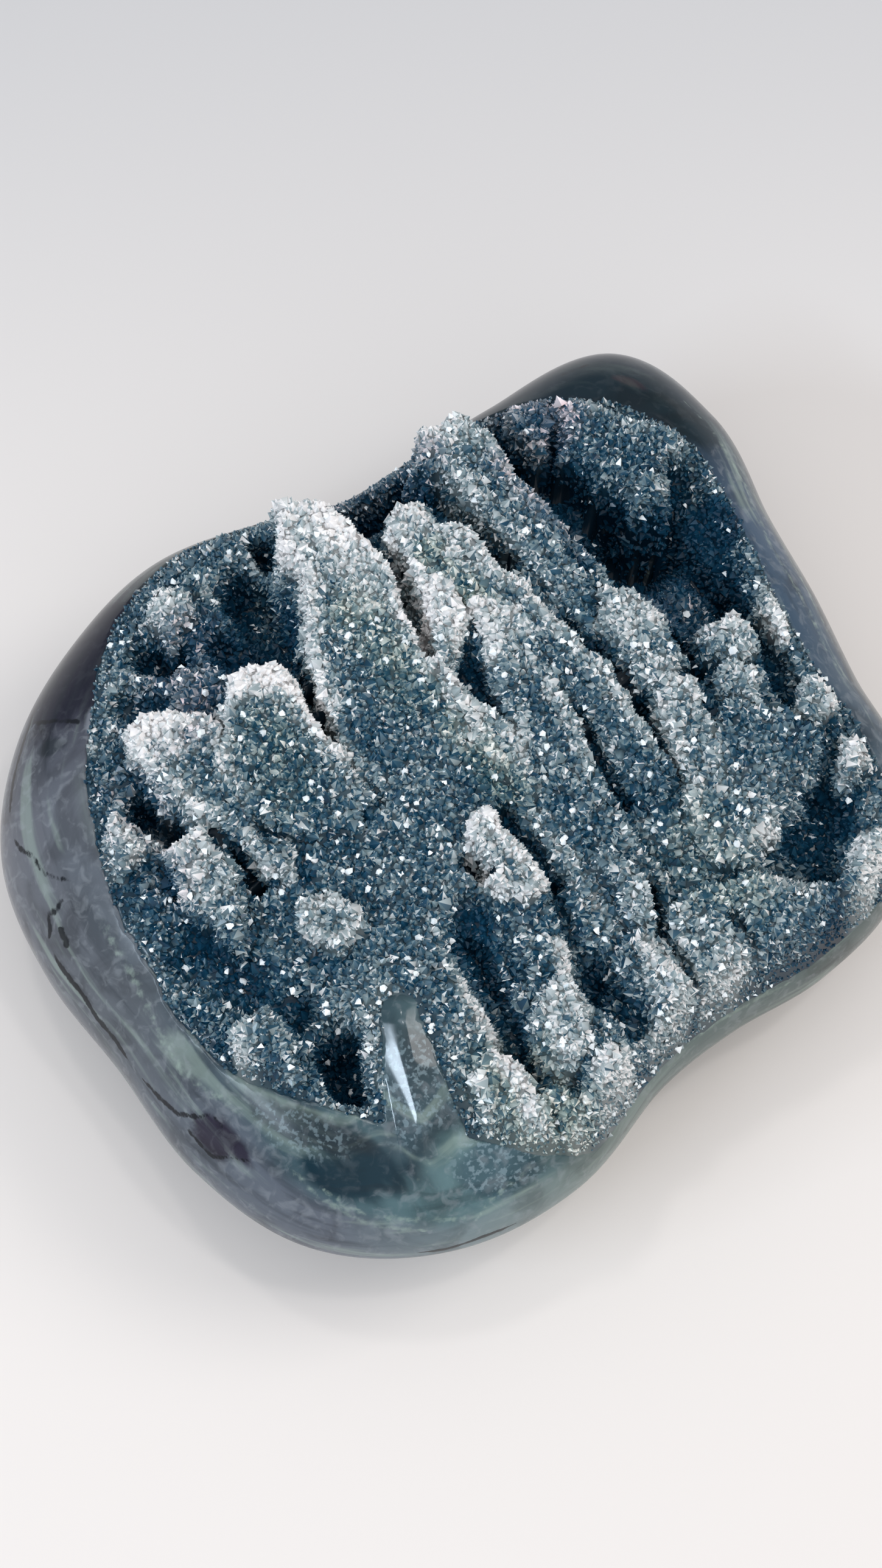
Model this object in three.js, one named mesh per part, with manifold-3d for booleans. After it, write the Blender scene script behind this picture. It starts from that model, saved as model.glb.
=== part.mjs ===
// A free-form piece of druzy agate: a polished, pillow-shaped stone whose upper face is an open seam
// of finger-like ridges and dark hollows, all of it crusted with small quartz points.
// Millimetres, +Z up. X runs along the stone, Y across it, and the ridges run along Y.
// The origin is under the middle of the stone's box, on the flat that it rests on. The shapes below
// are laid out about the seam's middle.

import * as THREE from "three";
import Module from "manifold-3d";

// The stone's overall form.
const FACE_HEIGHT = 45.5; // top of the polished dome at the middle
const FACE_CROWN = 1.5; // how far the dome falls from its middle to the shoulder's start
const WAIST_HEIGHT = 18; // height of the widest outline
const SHOULDER_POWER = 3.4; // larger is a flatter face with a tighter shoulder
const SHOULDER_ROUND = 2.1;
const BASE_SHARE = 0.66; // the flat underneath, as a share of the widest outline
const BASE_ROUND = 1.5;

// Radius of the widest outline, and of the seam's rim on the upper face, every 15 degrees from +X,
// about the seam's middle.
const OUTLINE_RADII = [
  68, 78, 82.6, 67, 56.5, 52.5, 57.5, 65, 69.5, 74, 76.5, 75, 73.8, 78.1, 81, 77.6, 69.8, 60, 58.8, 64.2,
  69.6, 70, 64.5, 64.5,
];
const RIM_RADII = [
  57.5, 62.5, 61, 58, 52.5, 48.5, 53, 58, 60, 59.5, 60.5, 61.5, 63.5, 66.5, 65.5, 65.5, 67.5, 61.7, 60.9,
  65.9, 69.4, 61, 54, 53,
];
// From the seam's middle to the middle of the outline's box, which becomes the origin.
const MIDDLE_X = 0.19;
const MIDDLE_Y = 0.3;
// The polished tongue that reaches in across the seam from the rim, as a round-ended taper.
const TONGUE = { x0: -41.5, y0: -28.5, x1: -56, y1: -54, tipRadius: 2.7, rootRadius: 7.5 };

// The crust.
const SEAM_SINK = 3.5; // how far the seam's floor lies under the polished dome
const RIM_LIMIT = 0.982; // the most of the widest outline's radius that the rim takes up
const RIM_RAMP = 12; // the width over which the floor comes up to the rim
const EDGE_RAMP = 4.5; // the same for the ledges' tops and for the hollows
const BRINK = 1; // how far inside its outline a ledge's top begins to fall
const CLIFF_REACH = 1.9; // how far out from the brink a ledge has fallen by CLIFF_FALL
const CLIFF_FALL = 4;
const CLIFF_POWER = 2.3;
const BLEND = 1; // how softly forms run into each other
const HOLLOW_EDGE = [0.4, 1.3]; // where a hollow's side starts and ends, in its half widths
const CLEFT_EDGE = [0.3, 1.4]; // the same for a cleft
const TIP_CURVE = 1.5; // how much faster a ledge's top drops near its tip
const CRUST_DEPTH = 1.6; // least thickness of crust over the agate
const SEAT_GAP = 0.3;
const POINT_PITCH = 2.3; // spacing across the ridges of the crust's facet corners
const ROW_STRETCH = 1.43; // how far the net of corners is drawn out along the ridges
const POINT_HEIGHT = 1.1; // a typical quartz point
const POINT_SPREAD = 0.45; // how far a facet's corner strays, as a share of the pitch
const LEAST_POINT = 0.3; // the size of a point at the seam's edge, as a share of a typical one
const TIP_LIFT = 0.55; // least height of a point's tip, as a share of its size
const TIP_VARIETY = 0.6;
const NOTCH_VARIETY = 0.35; // how far a notch between points sinks at most

const BEARINGS = 72;
const DOME_SHARES = [0.3, 0.42, 0.54, 0.64, 0.73, 0.81, 0.87, 0.92, 0.955, 0.98, 0.995];
const FLANK_STEPS = 6;
const CUTTER_FOOT = -10; // how low the blocks that shape the seam reach

const wasm = await Module();
wasm.setup();

// A hollow is a sunken stretch of the floor from (x0, y0) to (x1, y1). Ledges stand in it. A cleft
// is a narrow one that cuts the ledges too.
const hollow = (x0, y0, x1, y1, half, depth) => ({ x0, y0, x1, y1, half, depth });
const HOLLOWS = [
  hollow(-11, 42, -13, 29, 5, 11), // beside the big white finger
  hollow(-20, 36, -19, 30, 4, 7),
  hollow(-3.5, 48, -4, 44, 2, 7),
  hollow(9, 41, 22, 38, 4, 10), // along the far rim
  hollow(40.5, 35, 41, 8, 8, 11), // the long dark trough
  hollow(43, 8, 42, -10, 8, 8),
  hollow(52, 8, 51, -4, 6, 6),
  hollow(-27, -27, -31.5, -44, 3.2, 5),
  hollow(-22.5, -24, -25, -33, 4, 3.5),
  hollow(-50.5, -25.5, -53.5, -30.5, 4, 12), // the pit by the tongue
  hollow(4.8, 10, 2.8, -3, 2.6, 4.5), // grooves between the ridges in the middle
  hollow(10.5, -12, 6.5, -25, 2.2, 4),
  hollow(20.3, 0, 19.5, -16, 2.2, 5),
  hollow(19.5, -16, 15, -33, 1.8, 3.5),
  hollow(34.5, 4, 30.5, -17, 2.2, 5),
  hollow(23.5, -30, 20, -38, 1.8, 2.5),
  hollow(6.4, -27, 5.5, -37, 2.2, 2),
  hollow(-9, -15, -10.5, -28, 1.8, 3.5),
  hollow(-10.5, -28, -15, -38, 1.6, 3),
  hollow(-47.5, 24, -46.5, 14, 2.4, 8), // pits on the left
  hollow(-41.8, 7, -43.2, 1, 1.8, 6),
  hollow(-30, 43, -28, 41, 4, 6),
  hollow(-38, 38, -36, 35, 3.5, 4),
  hollow(47, -8, 40, -30, 2.4, 5), // along the right rim
  hollow(-15.5, 9, -19, -2, 2.4, 2.5),
  hollow(-57, 0, -52, -16, 4.5, 2.5),
];
const CLEFTS = [
  hollow(9, 28, 1, 12, 1.4, 9),
  hollow(22.5, 33, 21.5, 16, 1.6, 8),
  hollow(-15.8, 23, -19.3, 12, 1.3, 7),
  hollow(0.3, -38, -3.5, -45, 1.1, 6),
  hollow(-4, -47, -7, -57, 0.8, 3),
  hollow(-18, -17.5, -17.6, -20.5, 1.6, 7),
  hollow(5.5, -50, 4, -57, 1.3, 2.5),
  hollow(34.5, 10, 33, -4, 1.2, 5),
  hollow(28, -45, 21, -50, 6, 6), // the bowl on the near right
  hollow(-15.5, -42, -16.5, -52, 3.2, 5.5),
  hollow(-31, -46, -29, -52, 2.2, 4),
];

// A ledge is a flat-topped ridge or lump with steep sides, given by the corners of its outline, its
// free tip first. It runs from the tip to the place called tail, and its top goes from tipHeight
// down to tailHeight.
const ledge = (corners, tail, tipHeight, tailHeight) => ({ corners, tail, tipHeight, tailHeight });
const LEDGES = [
  // The big white finger, whose tip stands out over the far rim.
  ledge(
    [[0.8, 47], [6.5, 42], [6.5, 26], [4, 16.5], [-4.5, -3], [-14, -9.5], [-21.5, -4], [-19, 13],
      [-11.5, 26.5], [-5.5, 32], [-3.5, 41]],
    [-18, -7], 46, 42.5,
  ),
  // The ones to its left.
  ledge(
    [[-18.5, 25.5], [-19, 18.5], [-20.5, 6], [-22, 0.5], [-27, -3.5], [-34.5, 2.5], [-37.5, 10.5],
      [-35.5, 18], [-29.5, 25.5], [-21.5, 27.5]],
    [-30.5, -0.5], 46, 43.3,
  ),
  ledge(
    [[-42.5, 32], [-34.5, 29], [-31.5, 24], [-36, 9.5], [-40.5, 8], [-43.5, 16], [-44.5, 21],
      [-43.5, 28.5]],
    [-38.5, 9], 46, 43.3,
  ),
  ledge([[-50, 13.5], [-44, 12.5], [-44.5, 4.5], [-51.5, -6], [-53, 6.5]], [-52, -4], 44, 42),
  ledge([[-40, 7.5], [-36.5, 3], [-39, -1.5], [-41.5, 2]], [-39, -8], 43.5, 42.8),
  // The two in the middle, and the long ridge beside them.
  ledge(
    [[9, 20.5], [12, 18.5], [9, 12], [1.5, 8], [-0.5, 1.5], [2.5, -4.5], [-1.5, -16.5], [-5, -17],
      [-3, 2], [4, 16]],
    [-3.5, -16.5], 45.5, 43,
  ),
  ledge(
    [[12, 12.5], [15, 7.5], [12.5, -5.5], [8.5, -14.5], [5, -24.5], [0, -23.5], [3, -2.5], [8.5, 7]],
    [2.5, -24], 45, 42.5,
  ),
  ledge(
    [[17.5, 32], [16.5, 27], [20, 23], [19, 11], [19, -10], [15, -26.5], [10, -29.5], [13, -6],
      [14, 7], [7, 20], [9.5, 30], [13.5, 32.5]],
    [10.5, -28.5], 45.5, 43.5,
  ),
  // Along the dark trough.
  ledge(
    [[27, 41.5], [34, 38.5], [32, 24.5], [32, 14], [29, 11], [28, 2], [21.5, -3.5], [23.5, 15.5],
      [21, 20], [23, 30], [22, 38]],
    [24, -2.5], 46, 43,
  ),
  ledge([[28.5, 0.5], [32.5, -3], [29, -15], [25, -17], [22.5, -14], [23.5, -3]], [24, -18], 45, 43.3),
  ledge(
    [[24, -15], [27.5, -19], [23.5, -27.5], [16.5, -39], [12, -37.5], [17, -23.5]],
    [14.5, -38.5], 44.5, 42,
  ),
  // The ledge beyond the trough, and lumps by it.
  ledge(
    [[47, 32], [50, 32], [53, 25], [59.5, 17.5], [59, 13], [53, 13], [46, 12], [44, 20],
      [43.5, 24]],
    [57, 4], 43, 41,
  ),
  ledge([[46, 13.5], [49.5, 10.5], [47.5, 9], [44.5, 11]], [44, 0], 42.5, 42.5),
  ledge([[48.5, 38.5], [45.5, 31], [41.5, 29], [40.5, 33], [43.5, 38.5]], [38, 20], 41, 41),
  // Lumps and a plateau on the right.
  ledge([[40.5, -15], [40, -20.5], [35, -20], [32.5, -17], [35.5, -12.5]], [30, -28], 43, 42.5),
  ledge([[34, -19], [37, -24], [32.5, -28.5], [30, -22]], [30, -36], 42.5, 42),
  ledge(
    [[29.5, -25], [34.5, -32], [35, -38.5], [27, -43], [13, -45], [9, -39], [15, -30.5]],
    [15, -52], 42.8, 42.3,
  ),
  ledge([[28.5, -54], [30.5, -55.5], [27.5, -60], [22.5, -63], [21, -58.5]], [15, -75], 43, 43),
  ledge([[49.5, -14], [48, -20], [45, -22], [45.5, -17]], [42, -36], 42, 42),
  ledge([[43.5, -30.5], [42.5, -35], [37, -36], [35.5, -33]], [28, -42], 42, 42),
  ledge([[39, -42], [39.5, -45.5], [34, -45]], [28, -56], 41.5, 41.5),
  // The near side.
  ledge(
    [[-11.5, -14.5], [-11.5, -21.5], [-12.5, -28], [-16, -28.5], [-18, -25.5], [-17.5, -17],
      [-14.5, -14]],
    [-14.5, -33], 45.3, 43.5,
  ),
  ledge([[-4, -29], [-0.5, -30], [-1.5, -41], [-6, -41]], [-4, -54], 42, 42.5),
  ledge(
    [[-24, -48], [-8, -42], [8, -44], [18, -50], [24, -62], [8, -66], [-8, -64], [-22, -66],
      [-36, -64], [-34, -50]],
    [0, -90], 39.8, 39,
  ),
  ledge(
    [[-19.5, -39], [-21, -45], [-24, -50], [-30, -51], [-31, -47], [-26.5, -41.5]],
    [-38, -60], 42.5, 42,
  ),
  ledge([[-22.5, -52.5], [-21, -60], [-31, -60.5], [-34, -57.5], [-27.5, -54.5]], [-42, -66], 42, 40),
  ledge(
    [[-35.5, -41.5], [-34, -46], [-35.5, -54], [-35, -59], [-38, -59], [-42.5, -55], [-44, -49],
      [-40, -42]],
    [-40, -70], 42.5, 38,
  ),
  ledge(
    [[-8, -44.5], [-7, -53.5], [-10.5, -59.5], [-18.5, -60.5], [-13, -51.5]],
    [-20, -72], 42.5, 40,
  ),
  ledge([[2, -55.5], [-3, -60.5], [-6.5, -57], [-4, -54.5]], [-12, -68], 41.5, 40),
  // Lumps on the left and at the far rim.
  ledge(
    [[-55, -15.5], [-56.5, -22], [-59.5, -27.5], [-62, -26.5], [-64, -18], [-60, -14.5]],
    [-62, -32], 43.5, 42,
  ),
  ledge([[-51.5, 23.5], [-52.5, 17.5], [-57.5, 15.5], [-58.5, 18], [-55, 22.5]], [-62, 4], 43, 42.5),
  ledge([[-35, -8.5], [-35.5, -14.5], [-42, -15], [-44, -11], [-40, -6.5]], [-52, -22], 43.5, 42.5),
  ledge([[-28.5, 37], [-25.5, 31], [-32.5, 29.5], [-34.5, 33]], [-40, 18], 40, 40),
  ledge([[-20, 48], [-20.5, 43], [-25.5, 42], [-26, 46], [-23, 49.5]], [-30, 30], 41.5, 41),
];

const DEGREES = Math.PI / 180;
const clamp = (value, low, high) => Math.min(high, Math.max(low, value));
const smooth = (low, high, value) => {
  const t = clamp((value - low) / (high - low), 0, 1);
  return t * t * (3 - 2 * t);
};
// The larger of two heights, with the crease between them rounded.
const softMax = (a, b, round) => {
  const t = clamp(0.5 + (0.5 * (a - b)) / round, 0, 1);
  return b + (a - b) * t + round * t * (1 - t);
};
// A repeatable number from 0 to 1 for a place on the crust's net.
const scatter = (column, row, seed) => {
  const n = Math.sin(column * 127.1 + row * 311.7 + seed * 74.7) * 43758.5453;
  return n - Math.floor(n);
};

// The radius at a bearing, by a closed cubic through evenly spaced radii.
function radiusAt(radii, bearing) {
  const turn = (((bearing / 360) % 1) + 1) % 1;
  const place = turn * radii.length;
  const i = Math.floor(place);
  const t = place - i;
  const [a, b, c, d] = [-1, 0, 1, 2].map((k) => radii[(i + k + radii.length) % radii.length]);
  return b + 0.5 * t * (c - a + t * (2 * a - 5 * b + 4 * c - d + t * (3 * (b - c) + d - a)));
}

// Radius of the seam's rim at a bearing, kept just inside the widest outline.
function rimRadius(bearing) {
  return Math.min(radiusAt(RIM_RADII, bearing), RIM_LIMIT * radiusAt(OUTLINE_RADII, bearing));
}

// Height of the polished dome at a share of the outline, 0 at the middle and 1 at the widest.
function domeHeight(share) {
  const s = Math.min(share, 1);
  const crown = FACE_HEIGHT - FACE_CROWN * s * s - WAIST_HEIGHT;
  return WAIST_HEIGHT + crown * (1 - s ** SHOULDER_POWER) ** (1 / SHOULDER_ROUND);
}

// Where a point lies along and beside a stretch: its share of the length, its offset towards +X,
// and how far it lies past either end.
function beside(x, y, stretch) {
  const dx = stretch.x1 - stretch.x0;
  const dy = stretch.y1 - stretch.y0;
  const length = Math.hypot(dx, dy);
  const along = ((x - stretch.x0) * dx + (y - stretch.y0) * dy) / length;
  const across = ((y - stretch.y0) * dx - (x - stretch.x0) * dy) / length;
  return {
    share: clamp(along / length, 0, 1),
    across,
    past: along - clamp(along, 0, length),
  };
}

// How far a point lies inside the seam, from its rim or from the tongue.
function insideSeam(x, y) {
  const p = beside(x, y, TONGUE);
  const halfWidth = TONGUE.tipRadius + (TONGUE.rootRadius - TONGUE.tipRadius) * p.share;
  const fromRim = rimRadius(Math.atan2(y, x) / DEGREES) - Math.hypot(x, y);
  return Math.min(fromRim, Math.hypot(p.across, p.past) - halfWidth);
}

// How far a point lies inside an outline, negative outside it.
function within(x, y, corners) {
  let nearest = Infinity;
  let odd = false;
  corners.forEach(([x0, y0], k) => {
    const [x1, y1] = corners[(k + 1) % corners.length];
    const [dx, dy] = [x1 - x0, y1 - y0];
    const t = clamp(((x - x0) * dx + (y - y0) * dy) / (dx * dx + dy * dy), 0, 1);
    nearest = Math.min(nearest, Math.hypot(x - x0 - t * dx, y - y0 - t * dy));
    if (y0 > y !== y1 > y && x < x0 + ((y - y0) * dx) / dy) odd = !odd;
  });
  return odd ? nearest : -nearest;
}

// A ledge's height at a point: its top, which drops fastest near the tip, less the cliff's fall.
function ledgeHeight(x, y, l, dome, inside) {
  const [tipX, tipY] = l.corners[0];
  const [runX, runY] = [l.tail[0] - tipX, l.tail[1] - tipY];
  const run = runX * runX + runY * runY;
  const share = clamp(((x - tipX) * runX + (y - tipY) * runY) / run, 0, 1);
  const top = l.tailHeight + (l.tipHeight - l.tailHeight) * (1 - share) ** TIP_CURVE;
  const out = Math.max(BRINK - within(x, y, l.corners), 0) / CLIFF_REACH;
  return (top - dome) * inside - CLIFF_FALL * out ** CLIFF_POWER;
}

// Height of the crust's form, without its quartz points.
function crustHeight(x, y) {
  const dome = domeHeight(Math.hypot(x, y) / radiusAt(OUTLINE_RADII, Math.atan2(y, x) / DEGREES));
  const fromEdge = insideSeam(x, y);
  const inside = smooth(0, EDGE_RAMP, fromEdge);
  const depthIn = (stretch, [start, end]) => {
    const p = beside(x, y, stretch);
    return stretch.depth * (1 - smooth(start, end, Math.hypot(p.across, p.past) / stretch.half));
  };
  let rise = -SEAM_SINK * smooth(0, RIM_RAMP, fromEdge);
  for (const h of HOLLOWS) rise -= inside * depthIn(h, HOLLOW_EDGE);
  for (const l of LEDGES) rise = softMax(rise, ledgeHeight(x, y, l, dome, inside), BLEND);
  for (const c of CLEFTS) rise -= inside * depthIn(c, CLEFT_EDGE);
  return dome + rise;
}

function solidFrom(points, faces) {
  return new wasm.Manifold(
    new wasm.Mesh({
      numProp: 3,
      vertProperties: new Float32Array(points.flat()),
      triVerts: new Uint32Array(faces.flat()),
    }),
  );
}

// The polished stone with a whole dome: rings of points from the top, over the widest outline, to
// the flat underneath.
function pillow() {
  const rings = DOME_SHARES.map((share) => [share, domeHeight(share)]);
  for (let k = 0; k <= FLANK_STEPS; k++) {
    const turn = (k / FLANK_STEPS) * 90 * DEGREES;
    const share = BASE_SHARE + (1 - BASE_SHARE) * Math.cos(turn) ** (2 / BASE_ROUND);
    rings.push([share, WAIST_HEIGHT * (1 - Math.sin(turn) ** (2 / BASE_ROUND))]);
  }
  const points = [[0, 0, domeHeight(0)]];
  for (const [share, z] of rings) {
    for (let j = 0; j < BEARINGS; j++) {
      const bearing = (j / BEARINGS) * 360;
      const r = radiusAt(OUTLINE_RADII, bearing) * share;
      points.push([r * Math.cos(bearing * DEGREES), r * Math.sin(bearing * DEGREES), z]);
    }
  }
  points.push([0, 0, 0]);
  const at = (ring, j) => 1 + ring * BEARINGS + (j % BEARINGS);
  const faces = [];
  for (let j = 0; j < BEARINGS; j++) {
    faces.push([0, at(0, j), at(0, j + 1)]);
    for (let ring = 0; ring + 1 < rings.length; ring++) {
      faces.push([at(ring, j), at(ring + 1, j), at(ring, j + 1)]);
      faces.push([at(ring, j + 1), at(ring + 1, j), at(ring + 1, j + 1)]);
    }
    faces.push([points.length - 1, at(rings.length - 1, j + 1), at(rings.length - 1, j)]);
  }
  return solidFrom(points, faces);
}

// A block whose top follows height(x, y, column, row) on a net of even triangles, which reaches
// past the seam all round, and whose underside lies below the stone. place gives a corner's x, y.
function block(pitch, place, height) {
  const rise = pitch * ROW_STRETCH * Math.sqrt(0.75);
  const reach = Math.max(...OUTLINE_RADII) + pitch;
  const columns = Math.ceil(reach / pitch);
  const rows = Math.ceil(reach / rise);
  const wide = 2 * columns + 1;
  const tall = 2 * rows + 1;
  const top = [];
  for (let row = -rows; row <= rows; row++) {
    for (let column = -columns; column <= columns; column++) {
      const shift = row & 1 ? 0.5 : 0;
      const [x, y] = place((column + shift) * pitch, row * rise, column, row);
      top.push([x, y, height(x, y, column, row)]);
    }
  }
  const points = top.concat(top.map(([x, y]) => [x, y, CUTTER_FOOT]));
  const under = top.length;
  const at = (i, j) => j * wide + i;
  const faces = [];
  const both = (a, b, c) => faces.push([a, b, c], [under + a, under + c, under + b]);
  const wall = (a, b) => faces.push([a, under + a, b], [b, under + a, under + b]);
  for (let j = 0; j + 1 < tall; j++) {
    for (let i = 0; i + 1 < wide; i++) {
      const [a, b, c, d] = [at(i, j), at(i + 1, j), at(i, j + 1), at(i + 1, j + 1)];
      if ((j - rows) & 1) {
        both(a, b, d);
        both(a, d, c);
      } else {
        both(a, b, c);
        both(b, d, c);
      }
    }
  }
  for (let i = 0; i + 1 < wide; i++) {
    wall(at(i, 0), at(i + 1, 0));
    wall(at(i + 1, tall - 1), at(i, tall - 1));
  }
  for (let j = 0; j + 1 < tall; j++) {
    wall(at(0, j + 1), at(0, j));
    wall(at(wide - 1, j), at(wide - 1, j + 1));
  }
  return solidFrom(points, faces);
}

// The crust's upper face: on the net of triangles every third corner is a quartz point's tip, and
// the corners round it are the notches between points.
function crustBlock() {
  const place = (x, y, column, row) => {
    const stray = POINT_PITCH * POINT_SPREAD;
    return [x + (scatter(column, row, 1) - 0.5) * stray, y + (scatter(column, row, 2) - 0.5) * stray];
  };
  const height = (x, y, column, row) => {
    const slanted = column - (row - (row & 1)) / 2;
    const isTip = (((slanted - row) % 3) + 3) % 3 === 0;
    const grown = smooth(0, EDGE_RAMP, insideSeam(x, y));
    const size = POINT_HEIGHT * (LEAST_POINT + (1 - LEAST_POINT) * grown);
    const rise = TIP_LIFT + TIP_VARIETY * scatter(column, row, 3);
    const lift = isTip ? rise : -NOTCH_VARIETY * scatter(column, row, 4);
    return crustHeight(x, y) + size * lift;
  };
  return block(POINT_PITCH, place, height);
}

// The agate's bed under the crust, on a net of twice the pitch. It stays under the lowest crust
// near each corner, so the crust has no hole.
function bedBlock() {
  const pitch = 2 * POINT_PITCH;
  const place = (x, y) => [x, y];
  const height = (x, y) => {
    let lowest = crustHeight(x, y);
    for (let k = 0; k < 6; k++) {
      const turn = k * 60 * DEGREES;
      const aside = POINT_PITCH * Math.cos(turn);
      const along = POINT_PITCH * ROW_STRETCH * Math.sin(turn);
      lowest = Math.min(lowest, crustHeight(x + aside, y + along));
    }
    return lowest - CRUST_DEPTH;
  };
  return block(pitch, place, height);
}

// An upright block with the seam's outline, drawn in by inset from the rim and from the tongue.
function seamBlock(inset) {
  const tall = { depth: 2 * FACE_HEIGHT, bevelEnabled: false, curveSegments: 12 };
  const rim = new THREE.Shape();
  const steps = 2 * BEARINGS;
  for (let j = 0; j < steps; j++) {
    const bearing = (j / steps) * 360;
    const r = rimRadius(bearing) - inset;
    const point = [r * Math.cos(bearing * DEGREES), r * Math.sin(bearing * DEGREES)];
    if (j === 0) rim.moveTo(...point);
    else rim.lineTo(...point);
  }
  rim.closePath();
  const { x0, y0, x1, y1, tipRadius, rootRadius } = TONGUE;
  const heading = Math.atan2(y1 - y0, x1 - x0);
  const touch = Math.acos((tipRadius - rootRadius) / Math.hypot(x1 - x0, y1 - y0));
  const tongue = new THREE.Shape();
  tongue.absarc(x0, y0, tipRadius + inset, heading + touch, heading - touch + 2 * Math.PI);
  tongue.absarc(x1, y1, rootRadius + inset, heading - touch, heading + touch);
  tongue.closePath();
  const whole = solidOfGeometry(new THREE.ExtrudeGeometry(rim, tall));
  return whole.subtract(solidOfGeometry(new THREE.ExtrudeGeometry(tongue, tall)));
}

function solidOfGeometry(geometry) {
  const positions = geometry.getAttribute("position");
  const points = [];
  const faces = [];
  const seen = new Map();
  for (let i = 0; i < positions.count; i++) {
    const point = [positions.getX(i), positions.getY(i), positions.getZ(i)];
    const key = point.map((v) => v.toFixed(4)).join();
    if (!seen.has(key)) {
      seen.set(key, points.length);
      points.push(point);
    }
    faces.push(seen.get(key));
  }
  const triangles = [];
  for (let i = 0; i < faces.length; i += 3) triangles.push(faces.slice(i, i + 3));
  return solidFrom(points, triangles);
}

// The largest piece of a solid, which drops the crumbs that a cut leaves at the rim.
function mainPiece(solid) {
  return solid.decompose().reduce((a, b) => (a.volume() > b.volume() ? a : b));
}

function meshOf(solid, name, material) {
  const made = solid.getMesh();
  const positions = new Float32Array(made.numVert * 3);
  for (let i = 0; i < made.numVert; i++) {
    positions.set(made.vertProperties.subarray(i * made.numProp, i * made.numProp + 3), i * 3);
  }
  const geometry = new THREE.BufferGeometry();
  geometry.setAttribute("position", new THREE.BufferAttribute(positions, 3));
  geometry.setIndex(new THREE.BufferAttribute(made.triVerts, 1));
  geometry.computeVertexNormals();
  const mesh = new THREE.Mesh(geometry, material);
  mesh.name = name;
  return mesh;
}

const bed = bedBlock();

function agateBody() {
  const seam = seamBlock(0).subtract(bed);
  const material = new THREE.MeshStandardMaterial({ color: 0x66707a, roughness: 0.15, metalness: 0 });
  return meshOf(mainPiece(pillow().subtract(seam)), "agate_body", material);
}

function druzyCrust() {
  const solid = crustBlock().intersect(seamBlock(SEAT_GAP)).subtract(bed.translate([0, 0, SEAT_GAP]));
  const material = new THREE.MeshStandardMaterial({
    color: 0x9aa8b0, roughness: 0.3, metalness: 0, flatShading: true,
  });
  return meshOf(mainPiece(solid), "druzy_crust", material);
}

const stone = new THREE.Group();
stone.add(agateBody(), druzyCrust());
stone.position.set(-MIDDLE_X, -MIDDLE_Y, 0);

export default stone;
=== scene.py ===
"""A free-form piece of druzy agate: a polished stone with an open seam of crusted ridges.

The stone is made of two finished pieces, the polished agate and the crust. The crust is a bed that follows
the seam's relief, and thousands of small quartz points that stand on it. Places are worked out in
millimetres about the seam's middle, and become metres in the row frame when a mesh is made.
"""

import logging
import math
from dataclasses import dataclass, field
from enum import Enum

import bpy
import numpy as np
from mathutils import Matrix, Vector


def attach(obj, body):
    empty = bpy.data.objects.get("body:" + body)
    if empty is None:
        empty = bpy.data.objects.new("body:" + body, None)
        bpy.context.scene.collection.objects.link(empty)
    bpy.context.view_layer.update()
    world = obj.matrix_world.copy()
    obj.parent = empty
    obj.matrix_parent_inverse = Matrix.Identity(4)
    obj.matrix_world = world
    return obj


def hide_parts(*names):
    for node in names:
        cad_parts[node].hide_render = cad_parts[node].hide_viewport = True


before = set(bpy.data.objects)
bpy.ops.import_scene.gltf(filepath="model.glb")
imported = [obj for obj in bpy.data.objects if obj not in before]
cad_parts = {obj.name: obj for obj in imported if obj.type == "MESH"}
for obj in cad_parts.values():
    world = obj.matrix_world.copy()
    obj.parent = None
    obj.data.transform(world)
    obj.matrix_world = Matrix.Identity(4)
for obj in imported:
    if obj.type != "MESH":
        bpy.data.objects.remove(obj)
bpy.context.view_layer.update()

LOG = logging.getLogger("druzy_agate")
MM = 0.001
IMAGE_HEIGHT = 2576
SENSOR = 36.0
SEED = 20


def smooth(low: float, high: float, value: np.ndarray) -> np.ndarray:
    """Ramp from 0 at low to 1 at high, 3t² - 2t³ in between.

    Args:
        low: where the ramp starts.
        high: where the ramp ends.
        value: the numbers to ramp.

    Returns:
        The ramp at each number.
    """
    t = np.clip((value - low) / (high - low), 0.0, 1.0)
    return t * t * (3.0 - 2.0 * t)


def soft_max(a: np.ndarray, b: np.ndarray, blend: float) -> np.ndarray:
    """The larger of two heights, with the crease between them rounded over a width of blend.

    Args:
        a: one set of heights.
        b: the other set.
        blend: how far apart the heights are where the rounding ends.

    Returns:
        The joined heights.
    """
    t = np.clip(0.5 + 0.5 * (a - b) / blend, 0.0, 1.0)
    return b + (a - b) * t + blend * t * (1.0 - t)


def linear(colour: str) -> np.ndarray:
    """Six hex digits of a display colour as the linear red, green and blue that shaders take."""
    c = np.array([int(colour[i : i + 2], 16) for i in (0, 2, 4)]) / 255.0
    return np.where(c <= 0.04045, c / 12.92, ((c + 0.055) / 1.055) ** 2.4)


def value_noise(x: np.ndarray, y: np.ndarray, size: float, seed: int) -> np.ndarray:
    """Smooth random hills, -1 to 1: random numbers on a square net, eased between its corners.

    Args:
        x: places along X, in millimetres.
        y: places along Y.
        size: the net's spacing.
        seed: picks one net of random numbers.

    Returns:
        The noise at each place.
    """
    net = np.random.default_rng(seed).uniform(-1.0, 1.0, (256, 256))
    u, v = x / size + 128.37, y / size + 128.71
    i, j = np.floor(u).astype(int), np.floor(v).astype(int)
    s, t = u - i, v - j
    s, t = s * s * (3 - 2 * s), t * t * (3 - 2 * t)
    a, b = net[i % 256, j % 256], net[(i + 1) % 256, j % 256]
    c, d = net[i % 256, (j + 1) % 256], net[(i + 1) % 256, (j + 1) % 256]
    return (a * (1 - s) + b * s) * (1 - t) + (c * (1 - s) + d * s) * t


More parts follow.
